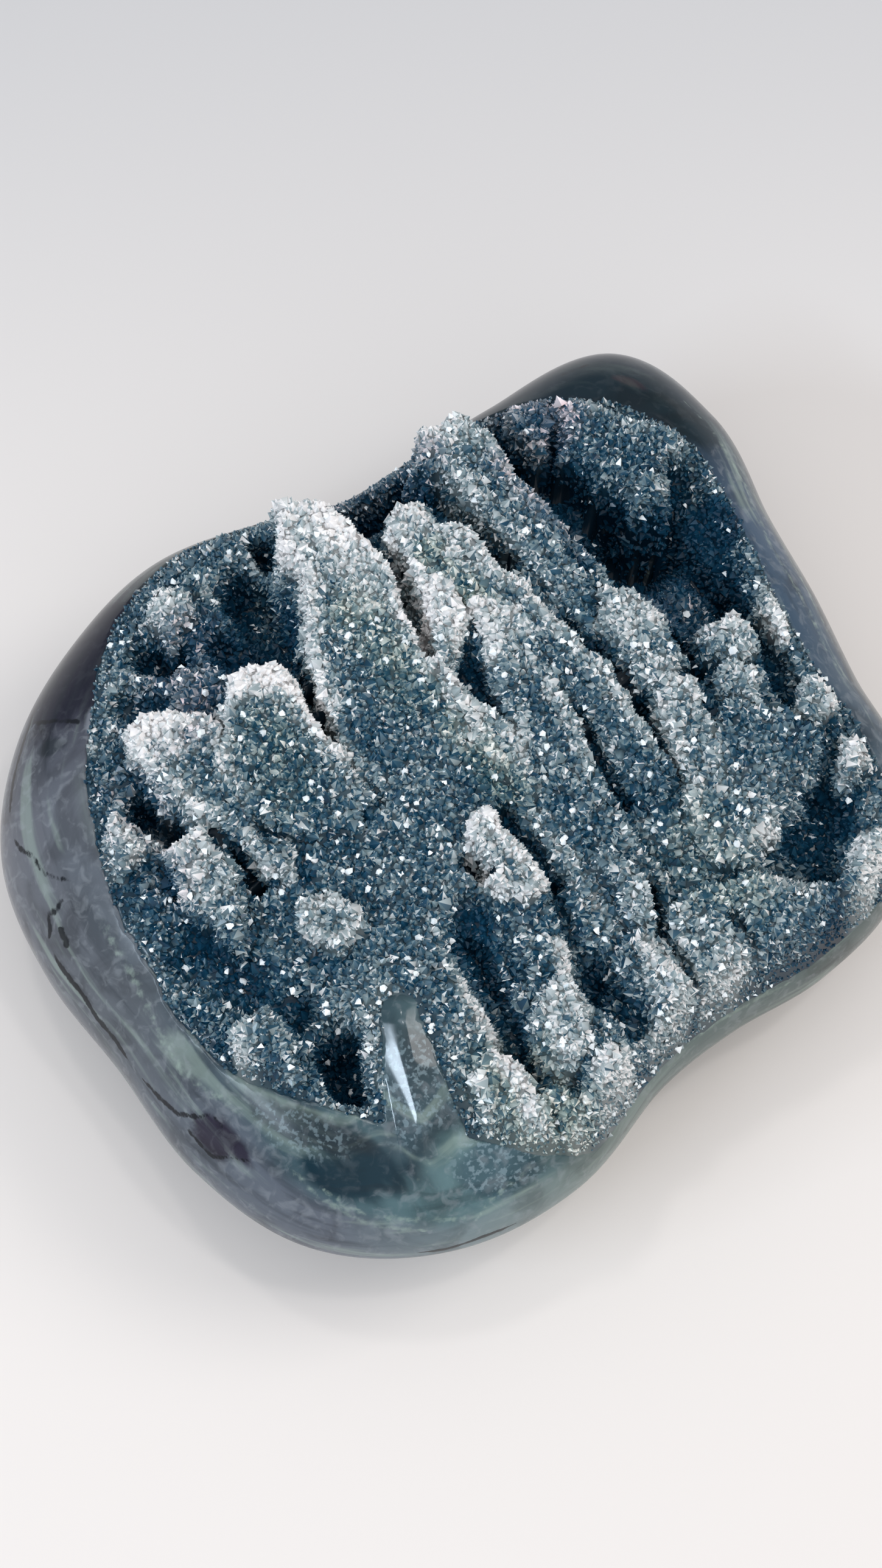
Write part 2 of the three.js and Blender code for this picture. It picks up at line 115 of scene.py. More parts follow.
def rolling_noise(x: np.ndarray, y: np.ndarray, size: float, seed: int, octaves: int = 3) -> np.ndarray:
    """Value noise summed over octaves, each half the size and half the height of the one before.

    Args:
        x: places along X.
        y: places along Y.
        size: the largest hills' spacing.
        seed: picks the random nets.
        octaves: how many sizes are summed.

    Returns:
        The noise, about -1 to 1.
    """
    total = np.zeros_like(x)
    for k in range(octaves):
        total += value_noise(x, y, size / 2**k, seed + k) / 2**k
    return total / 1.5


@dataclass(frozen=True)
class Stretch:
    """A straight stretch of the seam from (x0, y0) to (x1, y1)."""

    x0: float
    y0: float
    x1: float
    y1: float

    def beside(self, x: np.ndarray, y: np.ndarray) -> tuple[np.ndarray, np.ndarray, np.ndarray]:
        """Where places lie along and beside the stretch.

        Args:
            x: places along X.
            y: places along Y.

        Returns:
            The share of the length, the offset to the stretch's left-hand side when it is looked at from
            its far end, and how far the place lies past either end.
        """
        dx, dy = self.x1 - self.x0, self.y1 - self.y0
        length = math.hypot(dx, dy)
        along = ((x - self.x0) * dx + (y - self.y0) * dy) / length
        across = ((y - self.y0) * dx - (x - self.x0) * dy) / length
        return np.clip(along / length, 0, 1), across, along - np.clip(along, 0, length)


@dataclass(frozen=True)
class Hollow(Stretch):
    """A sunken stretch, with its half width and its depth."""

    half: float
    depth: float

    def depth_in(self, x: np.ndarray, y: np.ndarray, start: float, end: float) -> np.ndarray:
        """How deep the hollow is: its full depth out to start half widths, and none past end."""
        _, across, past = self.beside(x, y)
        return self.depth * (1 - smooth(start, end, np.hypot(across, past) / self.half))


@dataclass(frozen=True)
class Ledge:
    """A flat-topped ridge with steep sides, given by the corners of its outline, its free tip first.

    It runs from the tip to the place called tail, where it sinks into the floor, or past a lump's end.
    The heights are its top's above the stone's flat, and the whites say how pale its quartz is.
    """

    corners: tuple[tuple[float, float], ...]
    tail: tuple[float, float]
    tip_height: float
    tail_height: float
    tip_white: float
    tail_white: float
    brink: float = 1.0
    reach: float = 1.9
    fall: float = 4.0
    power: float = 2.3
    ragged: float = 0.95

    def share(self, x: np.ndarray, y: np.ndarray) -> np.ndarray:
        """Share of the way from the tip to the tail."""
        tip, tail = np.array(self.corners[0]), np.array(self.tail)
        run = tail - tip
        return np.clip(((x - tip[0]) * run[0] + (y - tip[1]) * run[1]) / (run @ run), 0, 1)

    def within(self, x: np.ndarray, y: np.ndarray) -> np.ndarray:
        """Distance inside the outline, negative outside it, with noise that makes the brink ragged."""
        nearest = np.full(x.shape, np.inf)
        odd = np.zeros(x.shape, bool)
        for (x0, y0), (x1, y1) in zip(self.corners, self.corners[1:] + self.corners[:1]):
            dx, dy = x1 - x0, y1 - y0
            t = np.clip(((x - x0) * dx + (y - y0) * dy) / (dx * dx + dy * dy), 0, 1)
            nearest = np.minimum(nearest, np.hypot(x - x0 - t * dx, y - y0 - t * dy))
            if dy:
                odd ^= ((y0 > y) != (y1 > y)) & (x < x0 + (y - y0) * dx / dy)
        return np.where(odd, nearest, -nearest) + self.ragged * rolling_noise(x, y, 2.4, SEED + 15, 2)

    def top(self, x: np.ndarray, y: np.ndarray) -> np.ndarray:
        """Height of the flat top, which drops fastest near the tip."""
        return self.tail_height + (self.tip_height - self.tail_height) * (1 - self.share(x, y)) ** 1.5

    def drop(self, within: np.ndarray) -> np.ndarray:
        """Fall below the top, a power of the distance out from a brink just inside the outline."""
        return self.fall * (np.maximum(self.brink - within, 0) / self.reach) ** self.power

    def white(self, x: np.ndarray, y: np.ndarray, within: np.ndarray) -> np.ndarray:
        """Paleness: the tip all over, then mostly the brink, fading towards the tail.

        The middle stays as pale as the brink where tip and tail are equally pale.
        """
        share = self.share(x, y)
        brink = smooth(4.2, 0.8, within) * smooth(1, 0.8, share)
        middle = np.maximum((1 - share) ** 2.2, (self.tail_white / self.tip_white) ** 2)
        pale = self.tail_white + (self.tip_white - self.tail_white) * (1 - share) ** 1.2
        return pale * np.maximum(brink, middle) * smooth(-1.5, -0.4, within)


@dataclass(frozen=True)
class Stone:
    """The stone's overall form: a pillow with a polished dome, a wide waist and a flat underneath."""

    face_height: float = 45.5
    face_crown: float = 1.5
    waist_height: float = 18.0
    shoulder_power: float = 3.4
    shoulder_round: float = 2.1
    base_share: float = 0.66
    base_round: float = 1.5
    middle_x: float = 0.19
    middle_y: float = 0.3
    rim_waver: float = 0.7
    rim_limit: float = 0.982
    outline_radii: tuple[float, ...] = (
        68, 78, 82.6, 67, 56.5, 52.5, 57.5, 65, 69.5, 74, 76.5, 75, 73.8, 78.1, 81, 77.6, 69.8, 60, 58.8, 64.2,
        69.6, 70, 64.5, 64.5,
    )
    rim_radii: tuple[float, ...] = (
        57.5, 62.5, 61, 58, 52.5, 48.5, 53, 58, 60, 59.5, 60.5, 61.5, 63.5, 66.5, 65.5, 65.5, 67.5, 61.7, 60.9,
        65.9, 69.4, 61, 54, 53,
    )
    tongue: Stretch = Stretch(-41.5, -28.5, -56.0, -54.0)
    tongue_tip: float = 2.7
    tongue_root: float = 7.5
    tongue_slope: float = 0.5
    tongue_ridge: float = 0.5
    tongue_flank: float = 4.0

    @staticmethod
    def radius(radii: tuple[float, ...], bearing: np.ndarray) -> np.ndarray:
        """Radius at a bearing in radians, by a closed cubic through evenly spaced radii."""
        table = np.array(radii)
        place = bearing / (2 * np.pi) % 1 * len(table)
        i = np.floor(place).astype(int)
        t = place - i
        a, b, c, d = (table[(i + k) % len(table)] for k in (-1, 0, 1, 2))
        return b + 0.5 * t * (c - a + t * (2 * a - 5 * b + 4 * c - d + t * (3 * (b - c) + d - a)))

    def share(self, x: np.ndarray, y: np.ndarray) -> np.ndarray:
        """Distance from the middle as a share of the outline's radius there."""
        return np.hypot(x, y) / self.radius(self.outline_radii, np.arctan2(y, x))

    def dome(self, share: np.ndarray) -> np.ndarray:
        """Height of the polished dome, a superellipse from the face down to the waist."""
        s = np.minimum(share, 1.0)
        crown = self.face_height - self.face_crown * s * s - self.waist_height
        return self.waist_height + crown * (1 - s**self.shoulder_power) ** (1 / self.shoulder_round)

    def tongue_places(self, x: np.ndarray, y: np.ndarray) -> tuple[np.ndarray, np.ndarray, np.ndarray]:
        """Share of the tongue's length, distance from its axis, and its half width there."""
        share, across, past = self.tongue.beside(x, y)
        return share, np.hypot(across, past), self.tongue_tip + (self.tongue_root - self.tongue_tip) * share

    def inside_seam(self, x: np.ndarray, y: np.ndarray) -> np.ndarray:
        """How far a place lies inside the seam, from its wavering rim or from the polished tongue."""
        bearing = np.arctan2(y, x)
        outline = self.radius(self.outline_radii, bearing)
        rim = np.minimum(self.radius(self.rim_radii, bearing), self.rim_limit * outline)
        room = smooth(1, 5, outline - rim)
        from_rim = rim - np.hypot(x, y) + self.rim_waver * room * rolling_noise(x, y, 5, SEED + 71)
        _, away, half = self.tongue_places(x, y)
        return np.minimum(from_rim, away - half + 0.5 * self.rim_waver * rolling_noise(x, y, 3, SEED + 81))

    def polished(self, x: np.ndarray, y: np.ndarray) -> np.ndarray:
        """Height of the dome, with the tongue shaped to a ridge that has flat flanks.

        The drop from the dome holds a little way beyond the tongue's edge, and fades towards the rim.
        """
        share, away, half = self.tongue_places(x, y)
        out = np.minimum(away, np.minimum(half, self.tongue_flank))
        drop = self.tongue_slope * out**2 / (out + self.tongue_ridge)
        fade = smooth(2.4, 1.1, away / half) * smooth(1.0, 0.55, share)
        return self.dome(self.share(x, y)) - drop * fade

    def place(self, bearing: float, height: float) -> np.ndarray:
        """The place on the polished face at a bearing in degrees and a height above the waist."""
        rise = (height - self.waist_height) / (self.face_height - self.waist_height)
        share = (1 - min(rise, 1.0) ** self.shoulder_round) ** (1 / self.shoulder_power)
        turn = math.radians(bearing)
        radius = share * float(self.radius(self.outline_radii, np.array([turn]))[0])
        return np.array([radius * math.cos(turn), radius * math.sin(turn), height])


@dataclass(frozen=True)
class Relief:
    """The seam's relief under its quartz points: a sunken floor with hollows, ledges and clefts."""

    stone: Stone = Stone()
    seam_sink: float = 3.5
    rim_ramp: float = 12.0
    edge_ramp: float = 4.5
    blend: float = 1.0
    lump_height: float = 0.6
    cluster_height: float = 0.55
    waver: float = 0.9
    hollows: tuple[Hollow, ...] = (
        Hollow(-11, 42, -13, 29, 5, 11),
        Hollow(-20, 36, -19, 30, 4, 7),
        Hollow(-3.5, 48, -4, 44, 2, 7),
        Hollow(9, 41, 22, 38, 4, 10),
        Hollow(40.5, 35, 41, 8, 8, 11),
        Hollow(43, 8, 42, -10, 8, 8),
        Hollow(52, 8, 51, -4, 6, 6),
        Hollow(-27, -27, -31.5, -44, 3.2, 5),
        Hollow(-22.5, -24, -25, -33, 4, 3.5),
        Hollow(-50.5, -25.5, -53.5, -30.5, 4, 12),
        Hollow(4.8, 10, 2.8, -3, 2.6, 4.5),
        Hollow(10.5, -12, 6.5, -25, 2.2, 4),
        Hollow(20.3, 0, 19.5, -16, 2.2, 5),
        Hollow(19.5, -16, 15, -33, 1.8, 3.5),
        Hollow(34.5, 4, 30.5, -17, 2.2, 5),
        Hollow(23.5, -30, 20, -38, 1.8, 2.5),
        Hollow(6.4, -27, 5.5, -37, 2.2, 2),
        Hollow(-9, -15, -10.5, -28, 1.8, 3.5),
        Hollow(-10.5, -28, -15, -38, 1.6, 3),
        Hollow(-47.5, 24, -46.5, 14, 2.4, 8),
        Hollow(-41.8, 7, -43.2, 1, 1.8, 6),
        Hollow(-30, 43, -28, 41, 4, 6),
        Hollow(-38, 38, -36, 35, 3.5, 4),
        Hollow(47, -8, 40, -30, 2.4, 5),
        Hollow(-15.5, 9, -19, -2, 2.4, 2.5),
        Hollow(-57, 0, -52, -16, 4.5, 2.5),
    )
    clefts: tuple[Hollow, ...] = (
        Hollow(9, 28, 1, 12, 1.4, 9),
        Hollow(22.5, 33, 21.5, 16, 1.6, 8),
        Hollow(-15.8, 23, -19.3, 12, 1.3, 7),
        Hollow(0.3, -38, -3.5, -45, 1.1, 6),
        Hollow(-4, -47, -7, -57, 0.8, 3),
        Hollow(-18, -17.5, -17.6, -20.5, 1.6, 7),
        Hollow(5.5, -50, 4, -57, 1.3, 2.5),
        Hollow(34.5, 10, 33, -4, 1.2, 5),
        Hollow(28, -45, 21, -50, 6, 6),
        Hollow(-15.5, -42, -16.5, -52, 3.2, 5.5),
        Hollow(-31, -46, -29, -52, 2.2, 4),
    )
    ledges: tuple[Ledge, ...] = (
        Ledge(
            ((0.8, 47), (6.5, 42), (6.5, 26), (4, 16.5), (-4.5, -3), (-14, -9.5), (-21.5, -4), (-19, 13),
             (-11.5, 26.5), (-5.5, 32), (-3.5, 41)),
            (-18, -7), 46, 42.5, 1.0, 0.42,
        ),
        Ledge(
            ((-18.5, 25.5), (-19, 18.5), (-20.5, 6), (-22, 0.5), (-27, -3.5), (-34.5, 2.5), (-37.5, 10.5),
             (-35.5, 18), (-29.5, 25.5), (-21.5, 27.5)),
            (-30.5, -0.5), 46, 43.3, 1.0, 0.4,
        ),
        Ledge(
            ((-42.5, 32), (-34.5, 29), (-31.5, 24), (-36, 9.5), (-40.5, 8), (-43.5, 16), (-44.5, 21),
             (-43.5, 28.5)),
            (-38.5, 9), 46, 43.3, 1.0, 0.4,
        ),
        Ledge(((-50, 13.5), (-44, 12.5), (-44.5, 4.5), (-51.5, -6), (-53, 6.5)), (-52, -4), 44, 42, 0.7, 0.2),
        Ledge(((-40, 7.5), (-36.5, 3), (-39, -1.5), (-41.5, 2)), (-39, -8), 43.5, 42.8, 0.4, 0.6),
        Ledge(
            ((9, 20.5), (12, 18.5), (9, 12), (1.5, 8), (-0.5, 1.5), (2.5, -4.5), (-1.5, -16.5), (-5, -17),
             (-3, 2), (4, 16)),
            (-3.5, -16.5), 45.5, 43, 1.0, 0.6,
        ),
        Ledge(
            ((12, 12.5), (15, 7.5), (12.5, -5.5), (8.5, -14.5), (5, -24.5), (0, -23.5), (3, -2.5), (8.5, 7)),
            (2.5, -24), 45, 42.5, 0.95, 0.3,
        ),
        Ledge(
            ((17.5, 32), (16.5, 27), (20, 23), (19, 11), (19, -10), (15, -26.5), (10, -29.5), (13, -6),
             (14, 7), (7, 20), (9.5, 30), (13.5, 32.5)),
            (10.5, -28.5), 45.5, 43.5, 0.86, 0.5,
        ),
        Ledge(
            ((27, 41.5), (34, 38.5), (32, 24.5), (32, 14), (29, 11), (28, 2), (21.5, -3.5), (23.5, 15.5),
             (21, 20), (23, 30), (22, 38)),
            (24, -2.5), 46, 43, 0.78, 0.2,
        ),
        Ledge(
            ((28.5, 0.5), (32.5, -3), (29, -15), (25, -17), (22.5, -14), (23.5, -3)),
            (24, -18), 45, 43.3, 0.6, 0.6,
        ),
        Ledge(
            ((24, -15), (27.5, -19), (23.5, -27.5), (16.5, -39), (12, -37.5), (17, -23.5)),
            (14.5, -38.5), 44.5, 42, 0.75, 0.3,
        ),
        Ledge(
            ((47, 32), (50, 32), (53, 25), (59.5, 17.5), (59, 13), (53, 13), (46, 12), (44, 20), (43.5, 24)),
            (57, 4), 43, 41, 0.5, 0.2,
        ),
        Ledge(((46, 13.5), (49.5, 10.5), (47.5, 9), (44.5, 11)), (44, 0), 42.5, 42.5, 0.8, 0.8),
        Ledge(((48.5, 38.5), (45.5, 31), (41.5, 29), (40.5, 33), (43.5, 38.5)), (38, 20), 41, 41, 0.35, 0.3),
        Ledge(((40.5, -15), (40, -20.5), (35, -20), (32.5, -17), (35.5, -12.5)), (30, -28), 43, 42.5, 0.55, 0.5),
        Ledge(((34, -19), (37, -24), (32.5, -28.5), (30, -22)), (30, -36), 42.5, 42, 0.45, 0.4),
        Ledge(
            ((29.5, -25), (34.5, -32), (35, -38.5), (27, -43), (13, -45), (9, -39), (15, -30.5)),
            (15, -52), 42.8, 42.3, 0.1, 0.1,
        ),
        Ledge(((28.5, -54), (30.5, -55.5), (27.5, -60), (22.5, -63), (21, -58.5)), (15, -75), 43, 43, 0.7, 0.7),
        Ledge(((49.5, -14), (48, -20), (45, -22), (45.5, -17)), (42, -36), 42, 42, 0.85, 0.85),
        Ledge(((43.5, -30.5), (42.5, -35), (37, -36), (35.5, -33)), (28, -42), 42, 42, 0.85, 0.85),
        Ledge(((39, -42), (39.5, -45.5), (34, -45)), (28, -56), 41.5, 41.5, 0.7, 0.7),
        Ledge(
            ((-11.5, -14.5), (-11.5, -21.5), (-12.5, -28), (-16, -28.5), (-18, -25.5), (-17.5, -17),
             (-14.5, -14)),
            (-14.5, -33), 45.3, 43.5, 1.0, 0.6,
        ),
        Ledge(((-4, -29), (-0.5, -30), (-1.5, -41), (-6, -41)), (-4, -54), 42, 42.5, 0.15, 0.15),
        Ledge(
            ((-24, -48), (-8, -42), (8, -44), (18, -50), (24, -62), (8, -66), (-8, -64), (-22, -66), (-36, -64),
             (-34, -50)),
            (0, -90), 39.8, 39, 0.02, 0.02,
        ),
        Ledge(
            ((-19.5, -39), (-21, -45), (-24, -50), (-30, -51), (-31, -47), (-26.5, -41.5)),
            (-38, -60), 42.5, 42, 0.55, 0.55,
        ),
        Ledge(
            ((-22.5, -52.5), (-21, -60), (-31, -60.5), (-34, -57.5), (-27.5, -54.5)),
            (-42, -66), 42, 40, 0.7, 0.6,
        ),
        Ledge(
            ((-35.5, -41.5), (-34, -46), (-35.5, -54), (-35, -59), (-38, -59), (-42.5, -55), (-44, -49),
             (-40, -42)),
            (-40, -70), 42.5, 38, 0.45, 0.3,
        ),
        Ledge(
            ((-8, -44.5), (-7, -53.5), (-10.5, -59.5), (-18.5, -60.5), (-13, -51.5)),
            (-20, -72), 42.5, 40, 0.35, 0.4,
        ),
        Ledge(((2, -55.5), (-3, -60.5), (-6.5, -57), (-4, -54.5)), (-12, -68), 41.5, 40, 0.4, 0.4),
        Ledge(
            ((-55, -15.5), (-56.5, -22), (-59.5, -27.5), (-62, -26.5), (-64, -18), (-60, -14.5)),
            (-62, -32), 43.5, 42, 0.85, 0.25,
        ),
        Ledge(
            ((-51.5, 23.5), (-52.5, 17.5), (-57.5, 15.5), (-58.5, 18), (-55, 22.5)),
            (-62, 4), 43, 42.5, 0.7, 0.6,
        ),
        Ledge(((-35, -8.5), (-35.5, -14.5), (-42, -15), (-44, -11), (-40, -6.5)), (-52, -22), 43.5, 42.5, 0.7, 0.3),
        Ledge(((-28.5, 37), (-25.5, 31), (-32.5, 29.5), (-34.5, 33)), (-40, 18), 40, 40, 0.25, 0.25),
        Ledge(((-20, 48), (-20.5, 43), (-25.5, 42), (-26, 46), (-23, 49.5)), (-30, 30), 41.5, 41, 0.5, 0.5),
    )

    def shifted(self, x: np.ndarray, y: np.ndarray) -> tuple[np.ndarray, np.ndarray]:
        """Places moved a little by noise, so that no edge of the relief runs straight."""
        u = x + self.waver * rolling_noise(x, y, 5, SEED + 1, 4)
        v = y + self.waver * rolling_noise(x, y, 5, SEED + 11, 4)
        return u, v

    def height(self, x: np.ndarray, y: np.ndarray) -> np.ndarray:
        """Height of the crust's form.

        The floor lies under the dome by the seam's sink and the hollows' depths. Ledges stand on it by a
        soft maximum, and clefts cut both.

        Args:
            x: places along X.
            y: places along Y.

        Returns:
            Heights in millimetres.
        """
        inside_seam = self.stone.inside_seam(x, y)
        inside = smooth(0, self.edge_ramp, inside_seam)
        u, v = self.shifted(x, y)
        dome = self.stone.polished(x, y)
        rise = -self.seam_sink * smooth(0, self.rim_ramp, inside_seam)
        for hollow in self.hollows:
            rise = rise - inside * hollow.depth_in(u, v, 0.4, 1.3)
        for ledge in self.ledges:
            own = (ledge.top(u, v) - dome) * inside - ledge.drop(ledge.within(u, v))
            rise = soft_max(rise, own, self.blend)
        for cleft in self.clefts:
            rise = rise - inside * cleft.depth_in(u, v, 0.3, 1.4)
        lumps = self.lump_height * rolling_noise(x, y, 4.5, SEED + 21) * inside
        lumps = lumps + self.cluster_height * rolling_noise(x, y, 1.9, SEED + 61, 2) * inside
        return dome + rise + lumps

    def white(self, x: np.ndarray, y: np.ndarray) -> np.ndarray:
        """How pale the quartz is, 0 to 1: the palest ledge at each place."""
        u, v = self.shifted(x, y)
        pale = np.zeros_like(x)
        for ledge in self.ledges:
            pale = np.maximum(pale, ledge.white(u, v, ledge.within(u, v)))
        return pale


class Part(Enum):
    """The frame's nodes, by what each one is."""

    BODY = "agate_body"
    CRUST = "druzy_crust"


class Slot(Enum):
    """The record's material slots."""

    AGATE = "polished_agate"
    QUARTZ = "druzy_quartz"


def make_mesh(name: str, points: np.ndarray, faces: np.ndarray, smooth_faces: bool) -> bpy.types.Object:
    """Puts points and faces into a new object at the origin.

    Args:
        name: the object's name.
        points: places about the seam's middle, in millimetres, one row each.
        faces: corner numbers, one row of three or four for each face.
        smooth_faces: whether the surface is shaded smooth.

    Returns:
        The linked object, in metres in the row frame.
    """
    stone = Stone()
    placed = (points - np.array([stone.middle_x, stone.middle_y, 0.0])) * MM
    mesh = bpy.data.meshes.new(name)
    mesh.vertices.add(len(placed))
    mesh.vertices.foreach_set("co", placed.astype(np.float32).ravel())
    mesh.loops.add(faces.size)
    mesh.loops.foreach_set("vertex_index", faces.astype(np.int32).ravel())
    mesh.polygons.add(len(faces))
    mesh.polygons.foreach_set("loop_start", np.arange(0, faces.size, faces.shape[1], dtype=np.int32))
    mesh.update(calc_edges=True)
    if smooth_faces:
        mesh.shade_smooth()
    else:
        mesh.shade_flat()
    mesh.validate()
    piece = bpy.data.objects.new(name, mesh)
    bpy.context.scene.collection.objects.link(piece)
    return piece


def add_field(piece: bpy.types.Object, name: str, values: np.ndarray, domain: str = "POINT") -> None:
    """Stores one number, or one colour, for each of a mesh's points or face corners.

    Args:
        piece: the object.
        name: the attribute's name, which a material reads.
        values: one number each, or one row of red, green and blue each.
        domain: POINT or CORNER.
    """
    if values.ndim == 1:
        attribute = piece.data.attributes.new(name, "FLOAT", domain)
        attribute.data.foreach_set("value", values.astype(np.float32))
        return
    attribute = piece.data.color_attributes.new(name, "FLOAT_COLOR", domain)
    rgba = np.column_stack([values, np.ones(len(values))])
    attribute.data.foreach_set("color", rgba.astype(np.float32).ravel())


class Shader:
    """Adds and joins the nodes of one material."""

    def __init__(self, name: str) -> None:
        """Starts a material with a Principled shader."""
        self.material = bpy.data.materials.new(name)
        self.material.use_nodes = True
        self.tree = self.material.node_tree
        self.principled = self.tree.nodes["Principled BSDF"]

    def set(self, **values: float) -> None:
        """Sets the shader's own sockets, with _ for a space in a socket's name."""
        for name, value in values.items():
            self.principled.inputs[name.replace("_", " ").title().replace("Ior", "IOR")].default_value = value

    def node(self, kind: str, settings: dict | None = None, inputs: dict | None = None) -> bpy.types.Node:
        """Adds a node.

        Args:
            kind: the node's type, such as ShaderNodeTexNoise.
            settings: its own properties.
            inputs: sockets by name or number, each with a value or with a socket to link from.

        Returns:
            The node.
        """
        made = self.tree.nodes.new(kind)
        for name, value in (settings or {}).items():
            setattr(made, name, value)
        for key, value in (inputs or {}).items():
            if isinstance(value, bpy.types.NodeSocket):
                self.tree.links.new(value, made.inputs[key])
            else:
                made.inputs[key].default_value = value
        return made

    def math(self, operation: str, *terms: object) -> bpy.types.NodeSocket:
        """A Math node on up to three numbers or sockets."""
        return self.node("ShaderNodeMath", {"operation": operation}, dict(enumerate(terms))).outputs[0]

    def ramp(self, factor: bpy.types.NodeSocket, low: float, high: float) -> bpy.types.NodeSocket:
        """Eased 0 to 1 between low and high, or 1 to 0 if low is the larger."""
        ends = (low, high, 0.0, 1.0) if low < high else (high, low, 1.0, 0.0)
        made = self.node("ShaderNodeMapRange", {"interpolation_type": "SMOOTHSTEP"}, {0: factor})
        for number, value in enumerate(ends, start=1):
            made.inputs[number].default_value = value
        return made.outputs[0]

    def mix(self, factor: object, first: object, second: object) -> bpy.types.NodeSocket:
        """First colour to second by a factor."""
        made = self.node("ShaderNodeMix", {"data_type": "RGBA"})
        for socket, value in ((made.inputs[0], factor), (made.inputs[6], first), (made.inputs[7], second)):
            if isinstance(value, bpy.types.NodeSocket):
                self.tree.links.new(value, socket)
            elif isinstance(value, (int, float)):
                socket.default_value = value
            else:
                socket.default_value = (*value, 1.0)
        return made.outputs[2]

    def field(self, name: str) -> bpy.types.NodeSocket:
        """A number stored on the mesh."""
        return self.node("ShaderNodeAttribute", {"attribute_name": name}).outputs["Fac"]

    def noise(
        self, size: float, detail: float, warp: float, squeeze: tuple[float, float, float] = (1.0, 1.0, 1.0)
    ) -> bpy.types.NodeSocket:
        """Noise on Object coordinates, with features about size metres across, squeezed along each axis."""
        place = self.node("ShaderNodeTexCoord").outputs["Object"]
        place = self.node("ShaderNodeVectorMath", {"operation": "MULTIPLY"}, {0: place, 1: squeeze}).outputs[0]
        inputs = {"Vector": place, "Scale": 1 / size, "Detail": detail, "Distortion": warp}
        return self.node("ShaderNodeTexNoise", None, inputs).outputs[0]

    def link(self, socket: bpy.types.NodeSocket, name: str) -> None:
        """Joins a socket to one of the Principled shader's."""
        self.tree.links.new(socket, self.principled.inputs[name])

    def bump(self, height: bpy.types.NodeSocket, strength: float, distance: float) -> None:
        """Joins a height to the shader's normal."""
        made = self.node("ShaderNodeBump", None, {"Strength": strength, "Distance": distance, "Height": height})
        self.link(made.outputs[0], "Normal")


@dataclass(frozen=True)
class QuartzFinish:
    """Glassy quartz points, each with its own tint."""

    roughness: float = 0.16
    ior: float = 1.544
    specular: float = 0.22

    def dress(self, piece: bpy.types.Object) -> None:
        """Gives a piece the finish, coloured by its tint field."""
        shader = Shader("quartz_points")
        shader.set(roughness=self.roughness, ior=self.ior, specular_ior_level=self.specular)
        tint = shader.node("ShaderNodeAttribute", {"attribute_name": "tint"}).outputs["Color"]
        shader.link(tint, "Base Color")
        piece.data.materials.append(shader.material)


@dataclass(frozen=True)
class AgateFinish:
    """Polished agate: a cloudy, banded ground, crystals that show through it, pale veins and dark cracks."""

    satin: float = 0.18
    gloss: float = 0.06
    ior: float = 1.54
    satin_specular: float = 0.13
    gloss_specular: float = 0.32
    vein: str = "a3b4a8"
    haze: str = "a3a8ad"
    crack: str = "15181d"
    speck: str = "8fa3ab"

    def dress(self, piece: bpy.types.Object) -> None:
        """Gives a piece the finish, from its ground, speck, vein and crack fields."""
        shader = Shader("polished_agate")
        shader.set(ior=self.ior)
        shine = shader.field("shine")
        shader.link(shader.math("MULTIPLY_ADD", shine, self.gloss - self.satin, self.satin), "Roughness")
        gain = self.gloss_specular - self.satin_specular
        shader.link(shader.math("MULTIPLY_ADD", shine, gain, self.satin_specular), "Specular IOR Level")
        ground = shader.node("ShaderNodeAttribute", {"attribute_name": "ground"}).outputs["Color"]
        mottle = shader.noise(0.0022, 5.0, 0.8)
        cloud = shader.noise(0.011, 4.0, 1.2)
        dark = shader.mix(shader.ramp(cloud, 0.35, 0.68), ground, (0.0, 0.0, 0.0))
        colour = shader.mix(shader.math("MULTIPLY", shader.ramp(cloud, 0.4, 0.7), 0.35), ground, dark)
        band = shader.noise(0.007, 4.0, 0.6, (0.3, 0.3, 2.6))
        grey = shader.node("ShaderNodeRGBToBW", None, {0: ground}).outputs[0]
        cloudy = shader.ramp(grey, 0.006, 0.05)
        light = shader.math("MULTIPLY", shader.math("MULTIPLY", shader.ramp(band, 0.52, 0.7), 0.34), cloudy)
        colour = shader.mix(light, colour, tuple(linear(self.vein)))
        shade = shader.math("MULTIPLY", shader.ramp(band, 0.46, 0.3), 0.4)
        colour = shader.mix(shade, colour, (0.01, 0.016, 0.022))
        haze = shader.math("MULTIPLY", shader.math("MULTIPLY", shader.ramp(mottle, 0.48, 0.7), 0.2), cloudy)
        colour = shader.mix(haze, colour, tuple(linear(self.haze)))
        grain = shader.ramp(shader.noise(0.0008, 2.0, 0.2), 0.5, 0.62)
        colour = shader.mix(shader.math("MULTIPLY", grain, shader.field("speck")), colour, tuple(linear(self.speck)))
        fine = shader.noise(0.0012, 3.0, 0.3)
        ragged = shader.math("MULTIPLY", shader.math("SUBTRACT", fine, 0.5), 4.0)
        vein = shader.ramp(shader.math("ADD", shader.field("vein"), ragged), 1.3, -0.5)
        colour = shader.mix(shader.math("MULTIPLY", vein, 0.45), colour, tuple(linear(self.vein)))
        ragged = shader.math("MULTIPLY", shader.math("SUBTRACT", fine, 0.5), 1.8)
        crack = shader.ramp(shader.math("ADD", shader.field("crack"), ragged), 1.45, 0.85)
        colour = shader.mix(shader.math("MULTIPLY", crack, 0.92), colour, tuple(linear(self.crack)))
        shader.link(colour, "Base Color")
        piece.data.materials.append(shader.material)


